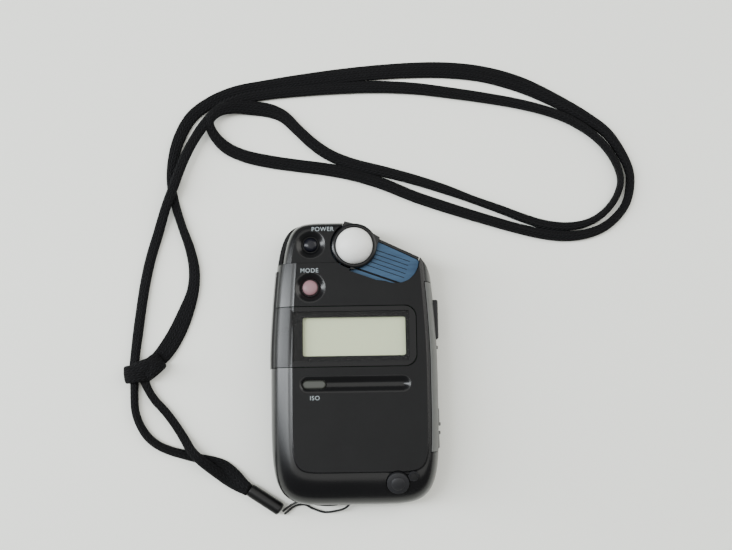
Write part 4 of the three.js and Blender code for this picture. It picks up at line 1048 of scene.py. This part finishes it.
def add_front_cover():
    shell = cut(common(front_form(), front_area()), common(front_form(WALL), front_area(WALL)))
    pad = box(
        GROOVE_X - GROOVE_W / 2 - 1, GROOVE_X + GROOVE_W / 2 + 1, GROOVE_Y - GROOVE_H / 2 - 1,
        GROOVE_Y + GROOVE_H / 2 + 1, FRONT_Z - GROOVE_DEPTH - PAD, FRONT_Z - 0.5,
    )
    join(shell, pad, well_pad(WELLS["mode"]), common(sync_boss(), front_form()))
    slot_hole = prism(pill(ISO.x, GROOVE_Y, 9.1 + 2 * GAP, 3.3 + 2 * GAP), 0, 30)
    cut(shell, bezel_area(GAP), groove_cutter(), slot_hole, well_cutter(WELLS["mode"]), sync_well())
    cut(shell, band_area(STRIPS["right"], GAP), band_area(STRIPS["left"], GAP))
    panel_faces(shell, FRONT_Z, [GLOSS, MATTE, SHADE])
    soften(shell, 30, 0.12)
    finish_piece(shell, "front_shell", "case", [], ("front_cover",))


def add_head_cover():
    left = HEAD_BEVEL + HEAD_STEP
    shell = cut(
        common(front_form(0, HEAD_Z, HEAD_STEP, left), head_area()),
        common(front_form(WALL, HEAD_Z, HEAD_STEP, left), head_area(WALL)),
    )
    join(shell, well_pad(WELLS["power"]))
    cut(shell, well_cutter(WELLS["power"]), band_area(STRIPS["left"], GAP))
    panel_faces(shell, HEAD_Z, [GLOSS, MATTE, SHADE])
    soften(shell, 30, 0.12)
    finish_piece(shell, "head_shell", "case", [], ("head_cover",))


def add_bezel():
    y0 = DISPLAY_Y - FRAME_H / 2
    y1 = DISPLAY_Y + FRAME_H / 2
    under = FRONT_Z - 2.6
    skin = cut(common(front_form(), bezel_area(0)), front_form(WALL), band_area(STRIPS["left"], GAP))
    join(skin, box(FRAME_LEFT - 0.6, FRAME_RIGHT + 0.6, y0 - 0.6, y1 + 0.6, under, FRONT_Z - 0.3))
    cut(skin, prism(rounded(FRAME_LEFT, FRAME_RIGHT, y0, y1, 0.5), FRONT_Z - FRAME_DEPTH, FRONT_Z + 1))
    x0 = DISPLAY.x - LCD_W / 2
    x1 = DISPLAY.x + LCD_W / 2
    cut(skin, prism(rounded(x0, x1, DISPLAY_Y - LCD_H / 2, DISPLAY_Y + LCD_H / 2, 0.9), 0, FRONT_Z + 1))
    panel_faces(skin, FRONT_Z, [BEZEL, BEZEL, SHADE])
    soften(skin, 30, 0.12)
    finish_piece(skin, "display_frame", "case", [], ("display_bezel",))


def door_opening(gap):
    cell = centre_of("battery_cell")
    y0 = cell.y - 8.5 - gap
    y1 = cell.y + 8.5 + gap
    plate = box(-70, 24 + gap, y0, y1, -1, 2.8)
    lip = box(-70, 5.5 + gap - HALF_W, y0 - 1.4, y1 + 1.4, -1.001, SPLIT_Z + 1)
    return join(plate, lip)


def add_rear_cover():
    shell = cut(back_form(), back_form(WALL, 1.8))
    eyelet_x = centre_of("strap_pin").x
    pod = common(box(eyelet_x - 5.5, eyelet_x + 5.5, BOTTOM, BOTTOM + 5.9, 0.5, SPLIT_Z), back_form())
    join(shell, pod)
    cut(shell, box(eyelet_x - 4, eyelet_x + 4, BOTTOM - 1, BOTTOM + 4.4, 2.4, 6.4), door_opening(GAP))
    cut(shell, band_area(STRIPS["right"], GAP), band_area(STRIPS["left"], GAP))
    low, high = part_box("rating_plate")
    cut(shell, box(low.x / MM - GAP, high.x / MM + GAP, low.y / MM - GAP, high.y / MM + GAP, -1, 0.7))
    for i in range(1, 5):
        screw = centre_of(f"case_screw_{i}")
        cut(shell, disc(screw.x, screw.y, -1, 3, 2.2))
    panel_faces(shell, -50, [MATTE, MATTE, MATTE])
    soften(shell, 30, 0.12)
    finish_piece(shell, "rear_shell", "case", [], ("rear_cover",))


def add_battery_door():
    door = cut(common(back_form(), door_opening(0)), back_form(WALL, 1.6))
    cell = centre_of("battery_cell")
    for i in range(5):
        x = -22 + 1.6 * i
        cut(door, box(x, x + 0.7, cell.y - 5, cell.y + 5, -1, 0.45))
    soften(door, 30, 0.12)
    finish_piece(door, "battery_lid_shell", "battery_lid", [MATTE], ("battery_door",))


def nub(spot, shoulder):
    """A small round dot that stands out to the right of a spot."""
    dot = lathe([(0, -1), (0.7, -1)] + shoulder + [(0, 0.6)], sides=32)
    dot.data.transform(Matrix.Translation(Vector(spot) * MM) @ Matrix.Rotation(math.pi / 2, 4, "Y"))
    return dot


def add_strips():
    right = common(cut(closed_form(0), closed_form(STRIP_WALL)), band_area(STRIPS["right"], 0))
    for low, high in SIDE_KEYS.values():
        y0, y1 = low.y / MM + KEY_LIP - GAP, high.y / MM - KEY_LIP + GAP
        z0, z1 = low.z / MM + KEY_LIP - GAP, high.z / MM - KEY_LIP + GAP
        cut(right, box(HALF_W - 7, HALF_W + 4, y0, y1, z0, z1))
    join(right, nub((half_width(5), 5, 8.5), [(0.7, 0.3), (0.55, 0.5)]))
    soften(right, 30, 0.15)
    finish_piece(right, "right_strip", "case", [GREY], ("side_strip_right",))
    left = common(cut(closed_form(-STRIP_LEFT_PROUD), closed_form(STRIP_WALL)), band_area(STRIPS["left"], 0))
    soften(left, 30, 0.15)
    finish_piece(left, "left_strip", "case", [GLOSS], ("side_strip_left",))


# ---- Slide ----


def add_track():
    area = common(pocket(TRACK_Z - TRACK_T, TRACK_Z, POCKET_R - GAP), under_slope(1.3), front_form())
    guide = slide_bar(-RING_R, TRAVEL + RING_R, GUIDE_V, GUIDE_W / 2, TRACK_Z - 1.2, FRONT_Z)
    cut(area, guide, disc(DOME.x, DOME.y, 0, 30, 3.3))
    for line in TRACK_LINES:
        cut(area, slide_bar(-RING_R, TRAVEL + 5.5, line, TRACK_LINE_R, TRACK_Z - 0.25, FRONT_Z))
    # The walls and floors of the track's grooves, below its face, take the black inner material: painted
    # shade in the blue plastic.
    set_materials(area, [BLUE, SHADE])
    for face in area.data.polygons:
        face.material_index = 1 if face.center.z / MM < TRACK_Z - 0.1 else 0
    soften(area, 30, 0.08)
    finish_piece(area, "blue_track", "case", [], ("slide_track",))
    body = common(pocket(SPLIT_Z + GAP, TRACK_Z, POCKET_R - GAP), front_form())
    inner = common(pocket(0, FRONT_Z), under_slope(1))
    frame_wall = cut(body, inner)
    soften(frame_wall, 30, 0.1)
    finish_piece(frame_wall, "track_rim", "case", [GLOSS], ("track_frame",))


def add_carriage():
    top = TRACK_Z + GAP + 2.0
    foot = TRACK_Z + GAP
    inner = DOME_R - 1.4
    r = RING_R
    mouth = DOME_R + 0.25
    profile = [(0, foot), (r, foot), (r, top - 0.9), (r - 0.25, top - 0.35), (r - 0.8, top - 0.02)]
    profile += [(r - 1.0, top), (DOME_R + 0.5, top), (mouth, top - 0.2), (mouth, foot + 0.7), (0, foot + 0.7)]
    ring = lathe(profile, (DOME.x, DOME.y, 0), 120)
    corner = [(-6.8, 0), (8.4, 0), (8.4, 6.4), (-1.7, 8.3), (-6.8, 7.9)]
    plate = cut(slide_prism(corner, foot, foot + 1.6), disc(DOME.x, DOME.y, foot + 0.7, top + 1, mouth))
    lip = cut(slide_prism(corner, TRACK_Z - 3, foot + 0.5), under_slope(-0.35))
    pointer = slide_prism([(1.9, -10.1), (3.5, -8.5), (1.4, -8.2)], foot, foot + 1.6)
    join(ring, plate, lip, common(pointer, disc(DOME.x, DOME.y, 0, 30, POCKET_R - 0.1)))
    join(ring, slide_bar(-3.5, 3.5, GUIDE_V, RUNNER_W / 2, TRACK_Z - 0.9, foot + 0.5))
    cut(ring, disc(DOME.x, DOME.y, 0, 30, inner))
    soften(ring, 30, 0.1)
    finish_piece(ring, "carriage_ring", "slide", [GLOSS], ("dome_carriage",))


def add_dome():
    seat = TRACK_Z + GAP + 0.9
    height = 6.3
    wall = 1.1
    angles = quarter_turn(24)
    inner = [((DOME_R - wall) * math.cos(a), (height - wall) * math.sin(a)) for a in angles[::-1]]
    outer = [(DOME_R * math.cos(a), height * math.sin(a)) for a in angles]
    dome = lathe(inner + outer, (DOME.x, DOME.y, seat), 120)
    soften(dome, 60)
    finish_piece(dome, "dome", "slide", [DIFFUSER], ("diffuser_dome",))


# ---- Keys ----


def add_round_key(name, key, node, body, material):
    r = key["r"]
    crown = key["top"] - 0.15
    under = key["top"] - key["depth"] - PAD
    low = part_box(node)[0].z / MM
    flange = r + 0.8
    dome = 1.25
    profile = [(0, low), (1.2, low), (1.2, under - 1.0), (flange, under - 1.0)]
    profile += [(flange, under - GAP), (r, under - GAP), (r, crown - dome)]
    profile += [(r * math.cos(a) ** 0.8, crown - dome + dome * math.sin(a)) for a in quarter_turn(14)[1:-1]]
    profile.append((0, crown))
    made = lathe(profile, (key["at"].x, key["at"].y, 0), 72)
    soften(made, 50)
    finish_piece(made, name, body, [material], (node,))


def add_iso_key():
    low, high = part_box("iso_button")
    z = high.z / MM - 0.9
    foot = low.z / MM
    under = FRONT_Z - GROOVE_DEPTH - PAD - GAP
    rings = []
    flange = pill(ISO.x, GROOVE_Y, 10.7, 4.9)
    shaft = pill(ISO.x, GROOVE_Y, 9.1, 3.3)
    for height in (under - 0.7, under):
        rings.append([(px, py, height) for px, py in flange])
    rings.append([(px, py, under) for px, py in shaft])
    for angle in quarter_turn(6):
        inset = 0.75 * (1 - math.cos(angle))
        ring = pill(ISO.x, GROOVE_Y, 9.1 - 2 * inset, 3.3 - 2 * inset)
        rings.append([(px, py, z + 0.9 * math.sin(angle)) for px, py in ring])
    key = join(loft(rings), disc(ISO.x, GROOVE_Y, foot, under - 0.2, 1.2, 24))
    soften(key, 40)
    finish_piece(key, "iso_pill", "iso_key", [KEY_GREY], ("iso_button",))


def side_key_of(node, proud, dot_at, ridges):
    """A cap with rounded edges through the strip, its flange, and the dot or ridges on it."""
    low, high = (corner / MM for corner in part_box(node))
    y0, y1 = low.y + KEY_LIP, high.y - KEY_LIP
    z0, z1 = low.z + KEY_LIP, high.z - KEY_LIP
    middle = (y0 + y1) / 2
    face = half_width(middle) + proud
    cap = box(low.x + KEY_LIP, face, y0, y1, z0, z1)
    bevel = cap.modifiers.new("round", "BEVEL")
    bevel.width = 0.7 * MM
    bevel.segments = 5
    bake(cap)
    join(cap, box(low.x, low.x + 1.2, low.y, high.y, low.z, high.z))
    if dot_at is not None:
        join(cap, nub((face, middle + dot_at, (z0 + z1) / 2), [(0.7, 0.35), (0.5, 0.55)]))
    for i in range(ridges):
        y = middle + (i - (ridges - 1) / 2) * 1.5
        cut(cap, box(face - 0.3, face + 1, y - 0.3, y + 0.3, z0 + 0.9, z1 - 0.9))
    soften(cap, 35)
    return cap


def add_side_keys():
    for node, name, body, material, slot, proud, dot_at, ridges in (
        ("measuring_button", "measuring_cap", "measuring_key", RUBBER, "dark_rubber", 1.3, None, 7),
        ("up_key", "up_cap", "up_side_key", GREY, "grey_plastic", 0.2, -2.7, 0),
        ("down_key", "down_cap", "down_side_key", GREY, "grey_plastic", 0.2, 2.6, 0),
    ):
        finish_piece(side_key_of(node, proud, dot_at, ridges), name, body, [material], (node,))


# ---- Sync socket ----


def add_sync():
    r = CAP_R
    grip = SOCKET_R + 0.3
    profile = [(0, -0.6), (grip, -0.6), (grip, -1.7), (r - 0.6, -1.7), (r - 0.6, -0.6), (r, -0.6)]
    profile += [(r, 0.5), (r - 0.12, 0.8), (r - 0.4, 0.92), (r * 0.74, 0.95), (r * 0.66, 1.05)]
    profile += [(r * 0.62 * math.cos(a), 1.05 + 0.7 * math.sin(a)) for a in quarter_turn(10)[:-1]]
    profile.append((0, 1.75))
    cap = on_sync(lathe(profile, sides=96))
    soften(cap, 40)
    finish_piece(cap, "socket_cap_top", "socket_cap", [RUBBER], ("sync_cap",))
    reach = math.hypot(*TETHER_AT)
    top = -0.5 + TETHER_T
    ring = join(bar(reach, r + GAP, TETHER_W, -0.5, top - 0.001), disc(*TETHER_AT, -0.5, top, TETHER_R))
    cut(ring, disc(*TETHER_AT, -2, 2, SCREW_R + 0.3), disc(0, 0, -2, 2, r + GAP))
    on_sync(ring)
    soften(ring, 35, 0.12)
    finish_piece(ring, "cap_tether", "case", [RUBBER], ("sync_cap_tether",))


# ---- Labels ----

LABEL_H = 1.7
LABEL_T = 0.008
LABEL_BOLD = 0.004
LABEL_LIFT = 0.012


def add_label(words, x, y, z):
    """Printed lettering: a function name beside its key."""
    text = bpy.data.curves.new(words, "FONT")
    text.body = words
    text.size = LABEL_H * 1.38 * MM
    text.align_x = "CENTER"
    text.align_y = "CENTER"
    text.extrude = LABEL_T * MM
    text.offset = LABEL_BOLD * MM
    text.space_character = 1.12
    name = "label_" + words.lower()
    shown = add_object(name, text)
    shown.location = Vector((x, y, z + LABEL_LIFT)) * MM
    body = add_object(name + "_ink", bpy.data.meshes.new_from_object(shown))
    body.data.transform(Matrix.Translation(shown.location))
    bpy.data.objects.remove(shown)
    finish_piece(body, name, "case", [INK])


def add_labels():
    add_label("POWER", -11.6, 51.3, HEAD_Z)
    add_label("MODE", -16.8, 34.8, FRONT_Z)
    add_label("ISO", -15.1, -14.3, FRONT_Z)


# ---- The rest of the pieces ----

NODE_FINISH = (
    (WINDOW, ["display_window"]),
    (LCD, ["display_panel"]),
    (RUBBER, ["display_connector"]),
    (NYLON, ["sensor_window", "sync_insulator"]),
    (CHIP, ["light_sensor", "microcontroller"]),
    (CHIP, ["power_switch", "mode_switch", "iso_switch", "measuring_switch", "up_switch", "down_switch"]),
    (BOARD, ["side_switch_board", "main_circuit_board"]),
    (SHADE, ["battery_holder", "tether_screw"]),
    (CELL, ["battery_cell"]),
    (STEEL, ["detent_spring", "positive_contact", "negative_spring", "strap_pin"]),
    (STEEL, ["case_screw_1", "case_screw_2", "case_screw_3", "case_screw_4"]),
    (BRASS, ["sync_socket_shell", "sync_centre_contact"]),
    (PLATE, ["rating_plate"]),
)


def finish_nodes():
    for material, names in NODE_FINISH:
        for name in names:
            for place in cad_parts[name].material_slots:
                place.material = material


# ---- Stage ----

TABLE_HALF = 2500
AIM = (0, 0.03, 0)  # what the lights face, in metres like their places


def add_table():
    table = box(-TABLE_HALF, TABLE_HALF, -TABLE_HALF, TABLE_HALF, -20, 0)
    table.name = "table"
    table.data.materials.append(table_top())


def add_area(name, place, size, power, colour):
    data = bpy.data.lights.new(name, "AREA")
    data.shape = "RECTANGLE"
    data.size = size[0]
    data.size_y = size[1]
    data.energy = power
    data.color = colour
    light = add_object(name, data)
    light.location = place
    light.rotation_euler = (Vector(AIM) - Vector(place)).to_track_quat("-Z", "Y").to_euler()


def add_lights():
    """A tall window on the left, a dimmer wall behind on the right, the ceiling and the pale room."""
    add_area("window", (-1.62, 0.2, 1.12), (0.44, 2.8), 74, (0.93, 0.97, 1.0))
    add_area("far_wall", (1.7, 0.6, 1.1), (1.6, 1.8), 28, (1.0, 0.99, 0.95))
    add_area("ceiling", (0.1, 0.3, 2.0), (2.5, 2.5), 29, (1.0, 1.0, 0.96))
    world = bpy.data.worlds.new("room")
    world.use_nodes = True
    air = world.node_tree.nodes["Background"]
    air.inputs["Color"].default_value = (0.96, 0.97, 0.93, 1)
    air.inputs["Strength"].default_value = 0.28
    bpy.context.scene.world = world


for add_piece in (
    add_front_cover, add_head_cover, add_bezel, add_rear_cover, add_battery_door, add_strips,
    add_track, add_carriage, add_dome,
):
    add_piece()
add_round_key("power_cap", WELLS["power"], "power_button", "power_key", NAVY)
add_round_key("mode_cap", WELLS["mode"], "mode_button", "mode_key", PINK)
add_iso_key()
add_side_keys()
add_sync()
add_labels()
finish_nodes()
add_table()
add_lights()
